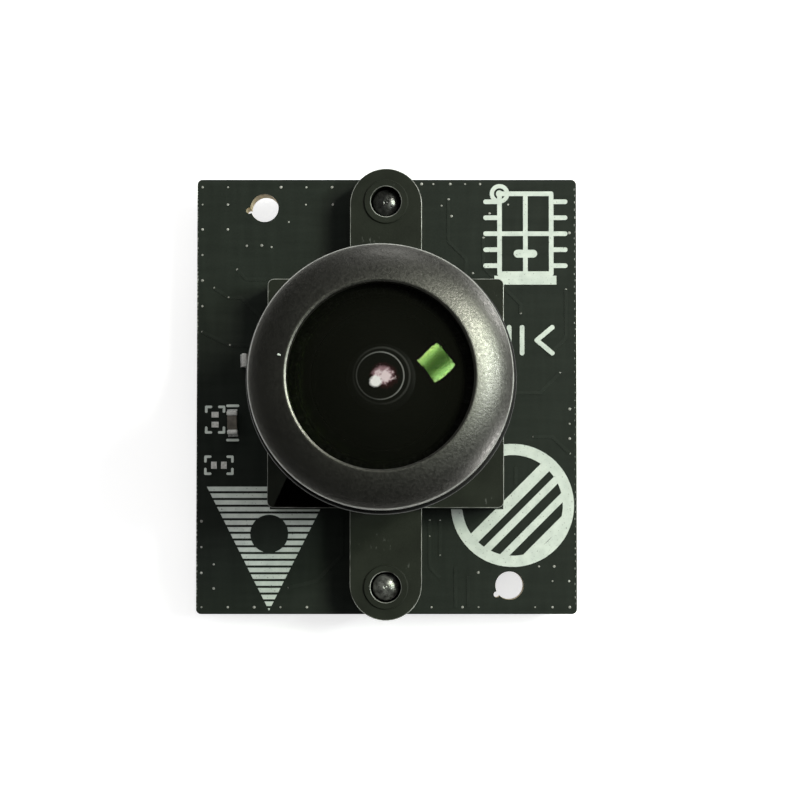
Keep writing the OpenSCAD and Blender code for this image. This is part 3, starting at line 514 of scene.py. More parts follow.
LAMINATE = Laminate("board_laminate", (0.07, 0.055, 0.03), (0.34, 0.27, 0.15), 1.0, 0.12, 0.012,
                    (0.55, 0.7))
# painted highlight: light lines along the holder's rounded edges
EDGE_PAINTED_HIGHLIGHT = Finish("holder_edge", (0.028, 0.03, 0.025), (0.42, 0.43, 0.39), 1.3, 0.06, 0.006,
                   (0.34, 0.46), reflect=0.7)
BARE_EDGE = Finish("bare_edge", (0.03, 0.033, 0.03), (0.5, 0.52, 0.48), 0.25, 0.06, 0.01,
                   (0.4, 0.6))
BLACKED_TIP = Finish("blacked_tip", (0.01, 0.01, 0.01), (0.05, 0.05, 0.048), 0.25, 0.2, 0.03,
                     (0.22, 0.36), metal=0.4, reflect=1.0, ior=1.7)
# lighter than the upper screw's tip: painted reflection on the lower screw
TIP_PAINTED_REFLECTION = Finish("bare_tip", (0.1, 0.1, 0.095), (0.4, 0.4, 0.38), 0.3, 0.22, 0.02,
                  (0.26, 0.4), metal=0.7)
# painted highlight: a light grey line on the front ring's outer rim
RIM_PAINTED_HIGHLIGHT = Finish("rubbed_edge", (0.12, 0.12, 0.11), (0.26, 0.26, 0.24), 0.5, 0.06, 0.001,
                (0.3, 0.4), reflect=0.8)
SOLDER = Finish("solder", (0.5, 0.5, 0.48), (0.76, 0.76, 0.74), 0.2, 0.06, 0.006, (0.2, 0.36),
                metal=0.35)
VIA = Finish("via_fill", (0.22, 0.22, 0.2), (0.5, 0.5, 0.46), 0.9, 0.05, 0.006, (0.3, 0.5),
             metal=0.3)
GREY_CERAMIC = Finish("grey_ceramic", (0.085, 0.075, 0.06), (0.16, 0.14, 0.115), 0.4, 0.05,
                      0.004, (0.3, 0.45))
HOLE_WALL = Laminate("hole_wall", (0.3, 0.22, 0.11), (0.74, 0.64, 0.42), 0.6, 0.1, 0.01,
                     (0.5, 0.65))
TRACE = Mask("trace_mask", (0.0122, 0.0165, 0.0122), (0.018, 0.0238, 0.0176), 1.2, 0.09, 0.002,
             (0.38, 0.5), reflect=0.25)
# the second element's middle, painted with a reflection and ring highlights
PUPIL_PAINTED_REFLECTION = PaintedReflectionDish("pupil_dish", (0.0012, 0.0012, 0.001), (0.0016, 0.0016, 0.0014), 1.0, 0.2, 0.001,
             (0.4, 0.5), reflect=0.05)
CLEAR_FACE = Glass("hollow_face", (0.002, 0.002, 0.002), (0.003, 0.003, 0.003), 4.0, 2.0, 0.0,
                   (0.02, 0.03), opacity=0.0, reflect=0.0)


class Wardrobe:
    """Makes each finish once and dresses pieces in it."""

    def __init__(self) -> None:
        """Starts with no finish made."""
        self.made: dict[str, bpy.types.Material] = {}

    def material(self, finish: Slot | Finish) -> bpy.types.Material:
        """The material of a slot or a finish, made on first use."""
        recipe = FINISHES[finish] if isinstance(finish, Slot) else finish
        if recipe.name not in self.made:
            self.made[recipe.name] = recipe.material()
        return self.made[recipe.name]

    def paint(self, node: str, slot: Slot) -> None:
        """Gives a solid that stays as it is the material of its slot."""
        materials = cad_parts[node].data.materials
        materials.clear()
        materials.append(self.material(slot))

    def dress(
        self,
        piece: bpy.types.Object,
        body: Body,
        slot: Slot,
        extra: Sequence[Slot | Finish] = (),
        replaces: Sequence[str] = (),
    ) -> bpy.types.Object:
        """Gives a piece its materials and ties it to the frame.

        Args:
            piece: the finished object.
            body: the body that it rides on.
            slot: its material slot, which is also its first material.
            extra: more finishes, in the order of the mesh's material numbers.
            replaces: names of the solids that it stands for.

        Returns:
            The same object.
        """
        slots = piece.data.materials
        for number, finish in enumerate((slot, *extra)):
            if number < len(slots):
                slots[number] = self.material(finish)
            else:
                slots.append(self.material(finish))
        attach(piece, body.value)
        if replaces:
            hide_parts(*replaces)
        LOG.info("%s: %d faces on %s", piece.name, len(piece.data.polygons), body.value)
        return piece


# ---------------------------------------------------------------- meshes


def span_mm(node: str) -> tuple[Vector, Vector]:
    """The lowest and highest corner of a solid, in millimetres."""
    low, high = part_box(node)
    return low / MM, high / MM


def put(name: str, mesh: bpy.types.Mesh) -> bpy.types.Object:
    """Puts a mesh in the scene under a name."""
    made = bpy.data.objects.new(name, mesh)
    bpy.context.scene.collection.objects.link(made)
    return made


def shade(mesh: bpy.types.Mesh, angle: float = SMOOTH_BELOW) -> None:
    """Shades a mesh smooth, with creases sharper than an angle kept."""
    mesh.shade_smooth()
    mesh.set_sharp_from_angle(angle=math.radians(angle))


def from_bmesh(
    name: str, shape: bmesh.types.BMesh, angle: float = SMOOTH_BELOW
) -> bpy.types.Object:
    """Turns a bmesh into a shaded object and frees it."""
    mesh = bpy.data.meshes.new(name)
    shape.to_mesh(mesh)
    shape.free()
    shade(mesh, angle)
    return put(name, mesh)


def cover(piece: bpy.types.Object, where: Callable[[Vector, Vector], bool]) -> None:
    """Gives material 1 to the faces that a test picks, and 0 to the others.

    Args:
        piece: the object.
        where: the test, given a face's middle in millimetres and its normal.
    """
    for face in piece.data.polygons:
        face.material_index = int(where(face.center / MM, face.normal))


def baked(piece: bpy.types.Object) -> bpy.types.Object:
    """Replaces a piece's mesh by what its modifiers make of it."""
    bpy.context.view_layer.update()
    evaluated = piece.evaluated_get(bpy.context.evaluated_depsgraph_get())
    mesh = bpy.data.meshes.new_from_object(evaluated)
    old = piece.data
    piece.modifiers.clear()
    piece.data = mesh
    bpy.data.meshes.remove(old)
    return piece


def facing(normal: Vector) -> tuple[float, ...]:
    """A direction, rounded so that two can be told apart."""
    return tuple(round(part, 2) + 0.0 for part in normal)


def mark_planar(shape: bmesh.types.BMesh) -> set[tuple[float, ...]]:
    """Marks the faces that aren't part of a curve, and returns the ways that they face."""
    layer = shape.faces.layers.int.new("planar")
    found = set()
    for face in shape.faces:
        turns = [edge.calc_face_angle(0.0) for edge in face.edges]
        face[layer] = int(all(turn < FLAT_TURN or turn > CREASE_TURN for turn in turns))
        if face[layer]:
            found.add(facing(face.normal))
    return found


def solid_copy(node: str, name: str, round_mm: float, segments: int = 2,
               edge_material: int = -1) -> bpy.types.Object:
    """A copy of a solid with its points merged and its edges rounded.

    Args:
        node: the solid's name.
        name: the new piece's name.
        round_mm: how far each edge is cut back.
        segments: steps round an edge.
        edge_material: material number of the rounded edges, or -1 for the faces' own.

    Returns:
        The rounded piece.
    """
    shape = bmesh.new()
    shape.from_mesh(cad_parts[node].data)
    bmesh.ops.remove_doubles(shape, verts=shape.verts, dist=MERGE_WITHIN)
    bmesh.ops.dissolve_limit(shape, angle_limit=math.radians(0.4), verts=shape.verts,
                             edges=shape.edges)
    planar = mark_planar(shape)
    piece = from_bmesh(name, shape)
    piece.data.materials.clear()
    if round_mm > 0.0:
        bevel = piece.modifiers.new("rounding", "BEVEL")
        bevel.width = round_mm * MM
        bevel.segments = segments
        bevel.limit_method = "ANGLE"
        bevel.angle_limit = math.radians(34.0)
        bevel.use_clamp_overlap = True
        bevel.miter_outer = "MITER_ARC"
        if edge_material >= 0:
            for _ in range(edge_material + 1):
                piece.data.materials.append(None)
            bevel.material = edge_material
        baked(piece)
        shade(piece.data, 28.0)
    marks = piece.data.attributes["planar"].data
    for face in piece.data.polygons:
        if marks[face.index].value and facing(face.normal) in planar:
            face.use_smooth = False
    return piece


def joined(name: str, parts: Sequence[bpy.types.Object]) -> bpy.types.Object:
    """Joins parts into one object; part n gets material number n.

    Args:
        name: the new object's name.
        parts: the objects to join, which are removed.

    Returns:
        The joined object.
    """
    shape = bmesh.new()
    for number, part in enumerate(parts):
        before = len(shape.faces)
        shape.from_mesh(part.data)
        shape.faces.ensure_lookup_table()
        for face in shape.faces[before:]:
            face.material_index = number
        mesh = part.data
        bpy.data.objects.remove(part)
        bpy.data.meshes.remove(mesh)
    return from_bmesh(name, shape)


def islands(node: str) -> list[tuple[Vector, Vector]]:
    """The box of each separate lump of a solid, in millimetres, in order of X then Y.

    Args:
        node: the solid's name.

    Returns:
        Pairs of lowest and highest corner.
    """
    shape = bmesh.new()
    shape.from_mesh(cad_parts[node].data)
    bmesh.ops.remove_doubles(shape, verts=shape.verts, dist=MERGE_WITHIN)
    seen: set[bmesh.types.BMVert] = set()
    boxes = []
    for start in shape.verts:
        if start in seen:
            continue
        seen.add(start)
        group, queue = [start], [start]
        while queue:
            for edge in queue.pop().link_edges:
                for vert in edge.verts:
                    if vert not in seen:
                        seen.add(vert)
                        group.append(vert)
                        queue.append(vert)
        low = Vector(min(v.co[k] for v in group) for k in range(3)) / MM
        high = Vector(max(v.co[k] for v in group) for k in range(3)) / MM
        boxes.append((low, high))
    shape.free()
    return sorted(boxes, key=lambda b: (round(b[0].x, 2), round(b[0].y, 2)))


def eased(corners: Sequence[tuple[float, float, float]], steps: int = 5) -> list[Point]:
    """Rounds the corners of a closed profile.

    Args:
        corners: radius, height and how far back each corner is cut.
        steps: steps round a corner.

    Returns:
        The rounded profile's points.
    """
    out: list[Point] = []
    for i, (x, z, cut) in enumerate(corners):
        if cut <= 0.0:
            out.append((x, z))
            continue
        here = Vector((x, z))
        ends = []
        for j in (i - 1, (i + 1) % len(corners)):
            away = Vector(corners[j][:2]) - here
            ends.append(here + away.normalized() * min(cut, away.length * 0.48))
        for k in range(steps + 1):
            t = k / steps
            spot = ends[0] * (1 - t) ** 2 + here * 2 * t * (1 - t) + ends[1] * t * t
            out.append((spot.x, spot.y))
    return out


def arc(centre: Point, radius: float, start: float, end: float, steps: int) -> list[Point]:
    """Points round a circle.

    Args:
        centre: radius and height of its centre.
        radius: its radius.
        start: first angle in degrees, from the outward radius.
        end: last angle in degrees.
        steps: number of steps.

    Returns:
        The points.
    """
    out = []
    for k in range(steps + 1):
        a = math.radians(start + (end - start) * k / steps)
        out.append((centre[0] + radius * math.cos(a), centre[1] + radius * math.sin(a)))
    return out


def sloped(stops: Sequence[Point], top: float, steps: int) -> list[Point]:
    """A profile drawn by how steeply it falls.

    Args:
        stops: radii, each with its fall in degrees, from the middle outwards.
        top: height of its highest point.
        steps: number of steps.

    Returns:
        The points, from the middle outwards.
    """
    out = [(stops[0][0], 0.0)]
    for (start, one), (end, two) in zip(stops, stops[1:]):
        count = max(2, round(steps * (end - start) / (stops[-1][0] - stops[0][0])))
        for k in range(count):
            fall = math.radians(one + (two - one) * (k + 0.5) / count)
            width = (end - start) / count
            out.append((out[-1][0] + width, out[-1][1] - width * math.tan(fall)))
    lift = top - max(height for _, height in out)
    return [(radius, height + lift) for radius, height in out]


def turned(name: str, profile: Sequence[Point], segments: int = 256,
           at: Point = (0.0, 0.0), angle: float = SMOOTH_BELOW) -> bpy.types.Object:
    """Turns a closed profile about an upright axis.

    Args:
        name: the piece's name.
        profile: radius and height of each point, in millimetres.
        segments: steps round the axis.
        at: X and Y of the axis.
        angle: creases sharper than this stay sharp.

    Returns:
        The turned piece.
    """
    shape = bmesh.new()
    rings = []
    for radius, height in profile:
        count = 1 if radius < 1e-6 else segments
        rings.append([
            shape.verts.new(((at[0] + radius * math.cos(2 * math.pi * i / segments)) * MM,
                             (at[1] + radius * math.sin(2 * math.pi * i / segments)) * MM,
                             height * MM))
            for i in range(count)])
    for one, two in zip(rings, rings[1:] + rings[:1]):
        if len(one) == 1 and len(two) == 1:
            continue
        for i in range(segments):
            j = (i + 1) % segments
            loop = (one[i % len(one)], one[j % len(one)], two[j % len(two)], two[i % len(two)])
            shape.faces.new(dict.fromkeys(loop))
    bmesh.ops.recalc_face_normals(shape, faces=shape.faces)
    return from_bmesh(name, shape, angle)


def rounded_block(name: str, low: Vector, high: Vector, cut: float,
                  segments: int = 2) -> bpy.types.Object:
    """A block between two corners, in millimetres, with rounded edges.

    Args:
        name: the piece's name.
        low: its lowest corner.
        high: its highest corner.
        cut: how far each edge is cut back.
        segments: steps round an edge.

    Returns:
        The block.
    """
    shape = bmesh.new()
    middle = (low + high) / 2 * MM
    size = Matrix.Diagonal(((high - low) * MM).to_4d())
    bmesh.ops.create_cube(shape, size=1.0, matrix=Matrix.Translation(middle) @ size)
    bmesh.ops.bevel(shape, geom=shape.edges[:], offset=cut * MM, segments=segments, profile=0.5,
                    affect="EDGES", clamp_overlap=True)
    return from_bmesh(name, shape)


# ---------------------------------------------------------------- geometry node trees


class Tree:
    """A Geometry Nodes tree under construction."""

    def __init__(self, name: str) -> None:
        """Starts a tree with a geometry in and out."""
        self.group = bpy.data.node_groups.new(name, "GeometryNodeTree")
        face = self.group.interface
        face.new_socket("Geometry", in_out="INPUT", socket_type="NodeSocketGeometry")
        face.new_socket("Geometry", in_out="OUTPUT", socket_type="NodeSocketGeometry")
        self.start = self.group.nodes.new("NodeGroupInput")
        self.end = self.group.nodes.new("NodeGroupOutput")

    def input(self, name: str, kind: str) -> None:
        """Adds a named input; kind is the end of its socket type, such as Float."""
        self.group.interface.new_socket(name, in_out="INPUT", socket_type=f"NodeSocket{kind}")

    def node(self, kind: str, **settings: object) -> bpy.types.Node:
        """Adds a node and sets its properties."""
        made = self.group.nodes.new(kind)
        for name, value in settings.items():
            setattr(made, name, value)
        return made

    def link(self, out: bpy.types.NodeSocket, to: bpy.types.NodeSocket) -> None:
        """Links two sockets."""
        self.group.links.new(out, to)

    def given(self, name: str) -> bpy.types.NodeSocket:
        """The socket of a named input."""
        return self.start.outputs[name]

    def close(self, geometry: bpy.types.NodeSocket) -> bpy.types.NodeTree:
        """Ends the tree with Realize Instances and Set Material."""
        self.input("Finish", "Material")
        real = self.node("GeometryNodeRealizeInstances")
        coat = self.node("GeometryNodeSetMaterial")
        self.link(geometry, real.inputs[0])
        self.link(real.outputs[0], coat.inputs["Geometry"])
        self.link(self.given("Finish"), coat.inputs["Material"])
        self.link(coat.outputs[0], self.end.inputs[0])
        return self.group


def grown(name: str, tree: bpy.types.NodeTree, start: bpy.types.Mesh,
          **inputs: object) -> bpy.types.Object:
    """Runs a tree on a mesh and keeps the result as a plain mesh.

    Args:
        name: the piece's name.
        tree: the Geometry Nodes tree.
        start: the mesh that goes in.
        inputs: the tree's inputs by name, with underscores for spaces.

    Returns:
        The finished piece.
    """
    piece = put(name, start)
    modifier = piece.modifiers.new("tree", "NODES")
    modifier.node_group = tree
    for item in tree.interface.items_tree:
        key = item.name.replace(" ", "_")
        if item.in_out == "INPUT" and key in inputs:
            modifier[item.identifier] = inputs[key]
    piece = baked(piece)
    shade(piece.data)
    return piece


def scatter_tree() -> bpy.types.NodeTree:
    """A tree that sets a shape on each point, turned and scaled by the point's own values."""
    tree = Tree("scatter")
    tree.input("Shape", "Object")
    info = tree.node("GeometryNodeObjectInfo")
    tree.link(tree.given("Shape"), info.inputs["Object"])
    turn = tree.node("GeometryNodeInputNamedAttribute", data_type="FLOAT")
    turn.inputs["Name"].default_value = "turn"
    size = tree.node("GeometryNodeInputNamedAttribute", data_type="FLOAT")
    size.inputs["Name"].default_value = "size"
    axis = tree.node("ShaderNodeCombineXYZ")
    tree.link(turn.outputs["Attribute"], axis.inputs["Z"])
    place = tree.node("GeometryNodeInstanceOnPoints")
    tree.link(tree.given("Geometry"), place.inputs["Points"])
    tree.link(info.outputs["Geometry"], place.inputs["Instance"])
    tree.link(axis.outputs[0], place.inputs["Rotation"])
    tree.link(size.outputs["Attribute"], place.inputs["Scale"])
    return tree.close(place.outputs[0])


def row_tree() -> bpy.types.NodeTree:
    """A tree that repeats its own mesh along a line."""
    tree = Tree("row")
    tree.input("Count", "Int")
    tree.input("Start", "Vector")
    tree.input("Step", "Vector")
    line = tree.node("GeometryNodeMeshLine")
    tree.link(tree.given("Count"), line.inputs["Count"])
    tree.link(tree.given("Start"), line.inputs["Start Location"])
    tree.link(tree.given("Step"), line.inputs["Offset"])
    place = tree.node("GeometryNodeInstanceOnPoints")
    tree.link(line.outputs[0], place.inputs["Points"])
    tree.link(tree.given("Geometry"), place.inputs["Instance"])
    return tree.close(place.outputs[0])


def track_tree() -> bpy.types.NodeTree:
    """A tree that lays a low flat strip along each polyline of a mesh."""
    tree = Tree("track")
    tree.input("Width", "Float")
    tree.input("Height", "Float")
    path = tree.node("GeometryNodeMeshToCurve")
    tree.link(tree.given("Geometry"), path.inputs["Mesh"])
    upright = tree.node("GeometryNodeSetCurveNormal", mode="Z_UP")
    tree.link(path.outputs[0], upright.inputs["Curve"])
    profile = tree.node("GeometryNodeCurvePrimitiveQuadrilateral")
    tree.link(tree.given("Width"), profile.inputs["Width"])
    tree.link(tree.given("Height"), profile.inputs["Height"])
    strip = tree.node("GeometryNodeCurveToMesh")
    strip.inputs["Fill Caps"].default_value = True
    tree.link(upright.outputs[0], strip.inputs["Curve"])
    tree.link(profile.outputs[0], strip.inputs["Profile Curve"])
    return tree.close(strip.outputs[0])


def thread_tree() -> bpy.types.NodeTree:
    """A tree that winds a ridge along a helix; its own mesh is the ridge's section."""
    tree = Tree("thread")
    for name in ("Turns", "Foot Radius", "Tip Radius", "Rise"):
        tree.input(name, "Float")
    tree.input("Steps", "Int")
    helix = tree.node("GeometryNodeCurveSpiral")
    tree.link(tree.given("Steps"), helix.inputs["Resolution"])
    tree.link(tree.given("Turns"), helix.inputs["Rotations"])
    tree.link(tree.given("Foot Radius"), helix.inputs["Start Radius"])
    tree.link(tree.given("Tip Radius"), helix.inputs["End Radius"])
    tree.link(tree.given("Rise"), helix.inputs["Height"])
    upright = tree.node("GeometryNodeSetCurveNormal", mode="Z_UP")
    tree.link(helix.outputs[0], upright.inputs["Curve"])
    section = tree.node("GeometryNodeMeshToCurve")
    tree.link(tree.given("Geometry"), section.inputs["Mesh"])
    ridge = tree.node("GeometryNodeCurveToMesh")
    ridge.inputs["Fill Caps"].default_value = True
    tree.link(upright.outputs[0], ridge.inputs["Curve"])
    tree.link(section.outputs[0], ridge.inputs["Profile Curve"])
    return tree.close(ridge.outputs[0])


def point_mesh(name: str, places: Iterable[tuple[float, float, float, float, float]]
               ) -> bpy.types.Mesh:
    """Loose points for the scatter tree.

    Args:
        name: the mesh's name.
        places: X, Y, Z in millimetres, turn in degrees and size of each point.

    Returns:
        The mesh of points, with its turn and size values.
    """
    rows = list(places)
    mesh = bpy.data.meshes.new(name)
    mesh.from_pydata([(x * MM, y * MM, z * MM) for x, y, z, _, _ in rows], [], [])
    turn = mesh.attributes.new("turn", "FLOAT", "POINT")
    size = mesh.attributes.new("size", "FLOAT", "POINT")
    for i, row in enumerate(rows):
        turn.data[i].value = math.radians(row[3])
        size.data[i].value = row[4]
    return mesh


def line_mesh(name: str, lines: Iterable[Sequence[Point]], z: float) -> bpy.types.Mesh:
    """Polylines at one height, in millimetres, for the track tree."""
    points: list[tuple[float, float, float]] = []
    edges: list[tuple[int, int]] = []
    for line in lines:
        first = len(points)
        points += [(x * MM, y * MM, z * MM) for x, y in line]
        edges += [(first + k, first + k + 1) for k in range(len(line) - 1)]
    mesh = bpy.data.meshes.new(name)
    mesh.from_pydata(points, edges, [])
    return mesh


def loop_mesh(name: str, points: Sequence[Point]) -> bpy.types.Mesh:
    """A closed section, in millimetres, for the thread tree."""
    mesh = bpy.data.meshes.new(name)
    count = len(points)
    mesh.from_pydata([(x * MM, y * MM, 0.0) for x, y in points],
                     [(k, (k + 1) % count) for k in range(count)], [])
    return mesh


# ---------------------------------------------------------------- circuit board


@dataclass
class Board:
    """The circuit board with its tracks, vias, printed marks and pads."""

    wardrobe: Wardrobe
    edge_round: float = 0.05
    via_d: float = 0.17
    track_w: float = 0.2
    track_h: float = 0.05

    def __post_init__(self) -> None:
        """Reads the board's place from the frame."""
        self.low, self.high = span_mm("circuit_board")

    def build(self) -> None:
        """Builds and dresses every piece of the board."""
        self.plate()
        self.tracks()
        self.vias()
        self.edge_flecks()
        self.wardrobe.paint("printed_marks", Slot.INK)
        self.wardrobe.paint("bare_pads", Slot.PAD)

    def plate(self) -> None:
        """The board itself: mask on both faces, bare laminate on every cut."""
        piece = solid_copy("circuit_board", "board_plate", self.edge_round, 2)
        for face in piece.data.polygons:
            spot = face.center / MM
            outer = abs(spot.x) > self.high.x - 0.1 or abs(spot.y) > self.high.y - 0.1
            cut = abs(face.normal.z) < 0.75
            face.material_index = 0 if not cut else 1 if outer else 2
        self.wardrobe.dress(piece, Body.MODULE, Slot.MASK, [LAMINATE, HOLE_WALL],
                            ["circuit_board"])

    def tracks(self) -> None:
        """Copper tracks that show as low ridges under the mask, on both faces."""
        top = [
            [(4.0, -9.85), (4.0, -12.2)], [(4.72, -10.4), (4.72, -12.2)],
            [(7.48, -4.1), (7.48, -5.1)], [(-10.7, 3.74), (-9.09, 2.97), (-7.2, 2.97)],
            [(-9.99, 6.29), (-9.17, 5.75), (-8.47, 5.75), (-7.2, 4.5)],
            [(-8.67, 7.35), (-8.13, 6.8), (-7.0, 6.8)], [(-9.93, -0.7), (-8.91, -0.5)],
            [(3.59, 11.44), (3.59, 9.0), (4.6, 8.0), (4.6, 6.7)],
            [(5.62, 9.2), (5.62, 7.5), (7.77, 5.35), (7.77, 4.83)],
            [(10.03, 1.35), (8.9, 0.2), (6.9, 0.2)], [(10.4, 6.19), (10.4, 3.4), (9.4, 2.4)],
            [(-5.66, -11.07), (-4.08, -10.7), (-2.6, -9.2), (-2.6, -7.0)],
            [(2.5, -7.2), (2.5, -9.9), (3.1, -10.5)], [(3.1, -7.2), (3.1, -9.3)],
            [(8.5, -2.35), (9.6, -2.35), (10.6, -3.33)],
        ]
        back = [[(-10.1, y), (-9.2, y), (-8.6, y - 0.6), (-8.6, y - 2.0)] for y in (11.6, -9.8)]
        back += [[(x, 11.7), (x, 10.2), (x + 1.1, 9.1), (x + 1.1, 8.4)]
                 for x in (-5.0, -4.4, -3.8, 3.6)]
        back += [[(5.2, y), (4.6, y)] for y in (-3.25, -2.75, 3.25, 3.75, 4.25)]
        tree = track_tree()
        for name, lines, z in (("front_tracks", top, self.high.z),
                               ("rear_tracks", back, self.low.z)):
            piece = grown(name, tree, line_mesh(name, lines, z), Width=self.track_w * MM,
                          Height=self.track_h * MM, Finish=self.wardrobe.material(TRACE))
            self.wardrobe.dress(piece, Body.MODULE, Slot.MASK, [TRACE])
            cover(piece, lambda spot, normal: True)

    def via_places(self) -> list[tuple[float, float]]:
        """X and Y of the plated holes that show on the front, row by row."""
        rows = [  # start, step, count
            ((-10.7, 3.74), (0.0, 1.49), 5), ((-10.7, 11.15), (0.0, 1.01), 2),
            ((-10.7, -7.24), (0.0, -1.49), 3), ((-10.68, -12.2), (1.52, 0.0), 5),
            ((-9.23, 12.16), (0.0, -1.01), 2), ((-6.15, 12.16), (1.48, 0.0), 3),
            ((-4.7, 11.15), (1.56, 0.0), 2), ((2.02, 12.35), (0.68, 0.0), 2),
            ((3.68, 12.35), (0.87, 0.0), 3), ((10.6, -0.74), (0.0, -0.86), 4),
            ((2.5, -7.2), (0.0, -0.9), 4), ((3.1, -7.2), (0.0, -1.0), 3),
            ((2.6, -12.2), (1.78, 0.0), 2), ((8.58, -12.2), (1.0, 0.0), 3),
            ((8.81, -9.85), (0.87, 0.0), 2), ((9.59, -10.7), (0.96, 0.0), 2),
            ((-9.17, 5.75), (0.7, 0.0), 2),
        ]
        places = [(start[0] + step[0] * k, start[1] + step[1] * k)
                  for start, step, count in rows for k in range(count)]
        places += [(-9.23, 9.7), (-5.69, 10.13), (-8.13, 8.74), (-7.26, 8.77), (-6.69, 8.67),
                   (-8.67, 7.35), (-8.13, 6.8), (-9.99, 6.29), (-9.09, 2.97), (-9.98, -9.73),
                   (-9.98, -11.12), (-5.66, -11.07), (-4.08, -10.7), (3.59, 11.44), (3.18, 11.09),
                   (3.76, 10.48), (7.05, 11.15), (5.97, 10.63), (5.62, 9.2), (5.0, 7.15),
                   (7.77, 4.83), (10.03, 1.35), (10.4, 6.19), (10.6, 9.5), (8.5, -2.35),
                   (5.3, -10.2), (5.31, -12.2)]
        return places

    def vias(self) -> None:
        """Tiny plated holes filled with solder, on both faces."""
        rim = turned("via_shape", eased([
            (0.0, -0.02, 0.0), (self.via_d * 0.5, -0.02, 0.0), (self.via_d * 0.5, 0.01, 0.012),
            (self.via_d * 0.2, 0.03, 0.02), (0.0, 0.02, 0.0)], 2), 12)
        tree = scatter_tree()
        front = [(x, y, self.high.z, 30.0 * k, 0.6 + 0.4 * ((k * 7) % 5) / 4)
                 for k, (x, y) in enumerate(self.via_places())]
        back = [(x, y, self.low.z, turn, 0.9) for x, y, _, turn, _ in front
                if x < 5.4 and min(abs(x + 10.0), abs(y - 11.6), abs(y + 11.6)) < 1.4]
        for name, places in (("front_vias", front), ("rear_vias", back)):
            piece = grown(name, tree, point_mesh(name, places), Shape=rim,
                          Finish=self.wardrobe.material(VIA))
            self.wardrobe.dress(piece, Body.MODULE, Slot.PAD)
            piece.data.materials[0] = self.wardrobe.material(VIA)
        bpy.data.objects.remove(rim)

    def edge_flecks(self) -> None:
        """Where the board was snapped from its panel: bare flecks along both long edges."""
        fleck = rounded_block("fleck_shape", Vector((-0.035, -0.07, -0.03)),
                              Vector((0.025, 0.07, 0.004)), 0.02)
        places = []
        for side, count, inset in ((1, 60, 0.085), (-1, 124, 0.035)):
            for k in range(count):
                y = self.low.y + 0.35 + (self.high.y - self.low.y - 0.7) * (k + 0.5) / count
                y += 0.05 * math.sin(k * 5.3 + side)
                x = side * (self.high.x - inset - 0.3 * inset * math.sin(k * 2.7))
                places.append((x, y, self.high.z, 4.0 * math.sin(k * 1.9),
                               0.5 + 0.5 * abs(math.sin(k * 3.1 + side))))
        piece = grown("edge_flecks", scatter_tree(), point_mesh("edge_flecks", places),
                      Shape=fleck, Finish=self.wardrobe.material(BARE_EDGE))
        bpy.data.objects.remove(fleck)
        self.wardrobe.dress(piece, Body.MODULE, Slot.MASK, [BARE_EDGE])
        cover(piece, lambda spot, normal: True)


# ---------------------------------------------------------------- chip parts


@dataclass
class EndCapChips:
    """Chip parts of one kind, each with a body, two metal ends and their solder."""

    wardrobe: Wardrobe
    node: str
    slot: Slot
    body: Finish | None = None
    end_share: float = 0.2
    solder_reach: float = 0.14

    def build(self) -> None:
        """Builds the chips where the frame has them."""
        boxes = islands(self.node)
        low, high = boxes[0]
        size = high - low
        along_x = size.x >= size.y
        length, width = (size.x, size.y) if along_x else (size.y, size.x)
        up = low.z > span_mm("circuit_board")[1].z - 0.1
        foot = low.z if up else high.z
        parts = self.shapes(length, width, size.z, 1.0 if up else -1.0)
        places = []
        for number, (a, b) in enumerate(boxes):
            turn = 0.0 if (b - a).x >= (b - a).y else 90.0
            wobble = 2.2 * math.sin(number * 2.4 + len(boxes))
            places.append(((a.x + b.x) / 2, (a.y + b.y) / 2, foot, turn + wobble, 1.0))
        tree = scatter_tree()
        finishes = (self.body or self.slot, Slot.PAD, SOLDER)
        grown_parts = [
            grown(f"{self.node}_{k}", tree, point_mesh(f"{self.node}_{k}", places), Shape=part,
                  Finish=self.wardrobe.material(finish))
            for k, (part, finish) in enumerate(zip(parts, finishes))]
        for part in parts:
            bpy.data.objects.remove(part)
        piece = joined(f"{self.node}_dressed", grown_parts)
        self.wardrobe.dress(piece, Body.MODULE, self.slot, finishes[1:], [self.node])
        if self.body:
            piece.data.materials[0] = self.wardrobe.material(self.body)

    def shapes(self, length: float, width: float, height: float,
               way: float) -> list[bpy.types.Object]:
        """One chip's body, ends and solder, standing on z = 0.

        Args:
            length: the chip's length, along X.
            width: its width.
            height: its height.
            way: 1 to stand upward, -1 to hang downward.

        Returns:
            The body, the pair of ends and the pair of solder fillets.
        """
        cap = length * self.end_share

        def block(name: str, x0: float, x1: float, half: float, z0: float, z1: float,
                  cut: float) -> bpy.types.Object:
            """A rounded block between two lengths and two heights."""
            zs = sorted((z0 * way, z1 * way))
            return rounded_block(name, Vector((x0, -half, zs[0])), Vector((x1, half, zs[1])), cut)

        body = block("chip_body", cap - length / 2, length / 2 - cap, width * 0.46,
                     height * 0.03, height * 0.95, 0.03)
        ends = joined("chip_ends", [
            block("chip_end", *sorted((side * length / 2, side * (length / 2 - cap))),
                  width / 2, 0.0, height, min(0.07, cap * 0.3)) for side in (-1, 1)])
        shape = bmesh.new()
        reach, half = self.solder_reach, width * 0.48
        for side in (-1, 1):
            foot_x = side * (length / 2 - 0.02)
            rows = []
            for y in (-half, half):
                rows.append([shape.verts.new((x * MM, y * MM, z * way * MM)) for x, z in (
                    (foot_x, 0.0), (foot_x + side * reach, 0.0),
                    (foot_x + side * reach * 0.45, height * 0.14),
                    (foot_x + side * reach * 0.15, height * 0.36), (foot_x, height * 0.62))])
            count = len(rows[0])
            for k in range(count):
                n = (k + 1) % count
                shape.faces.new((rows[0][k], rows[0][n], rows[1][n], rows[1][k]))
            shape.faces.new(rows[0][::-1])
            shape.faces.new(rows[1])
        bmesh.ops.recalc_face_normals(shape, faces=shape.faces)
        return [body, ends, from_bmesh("chip_solder", shape)]


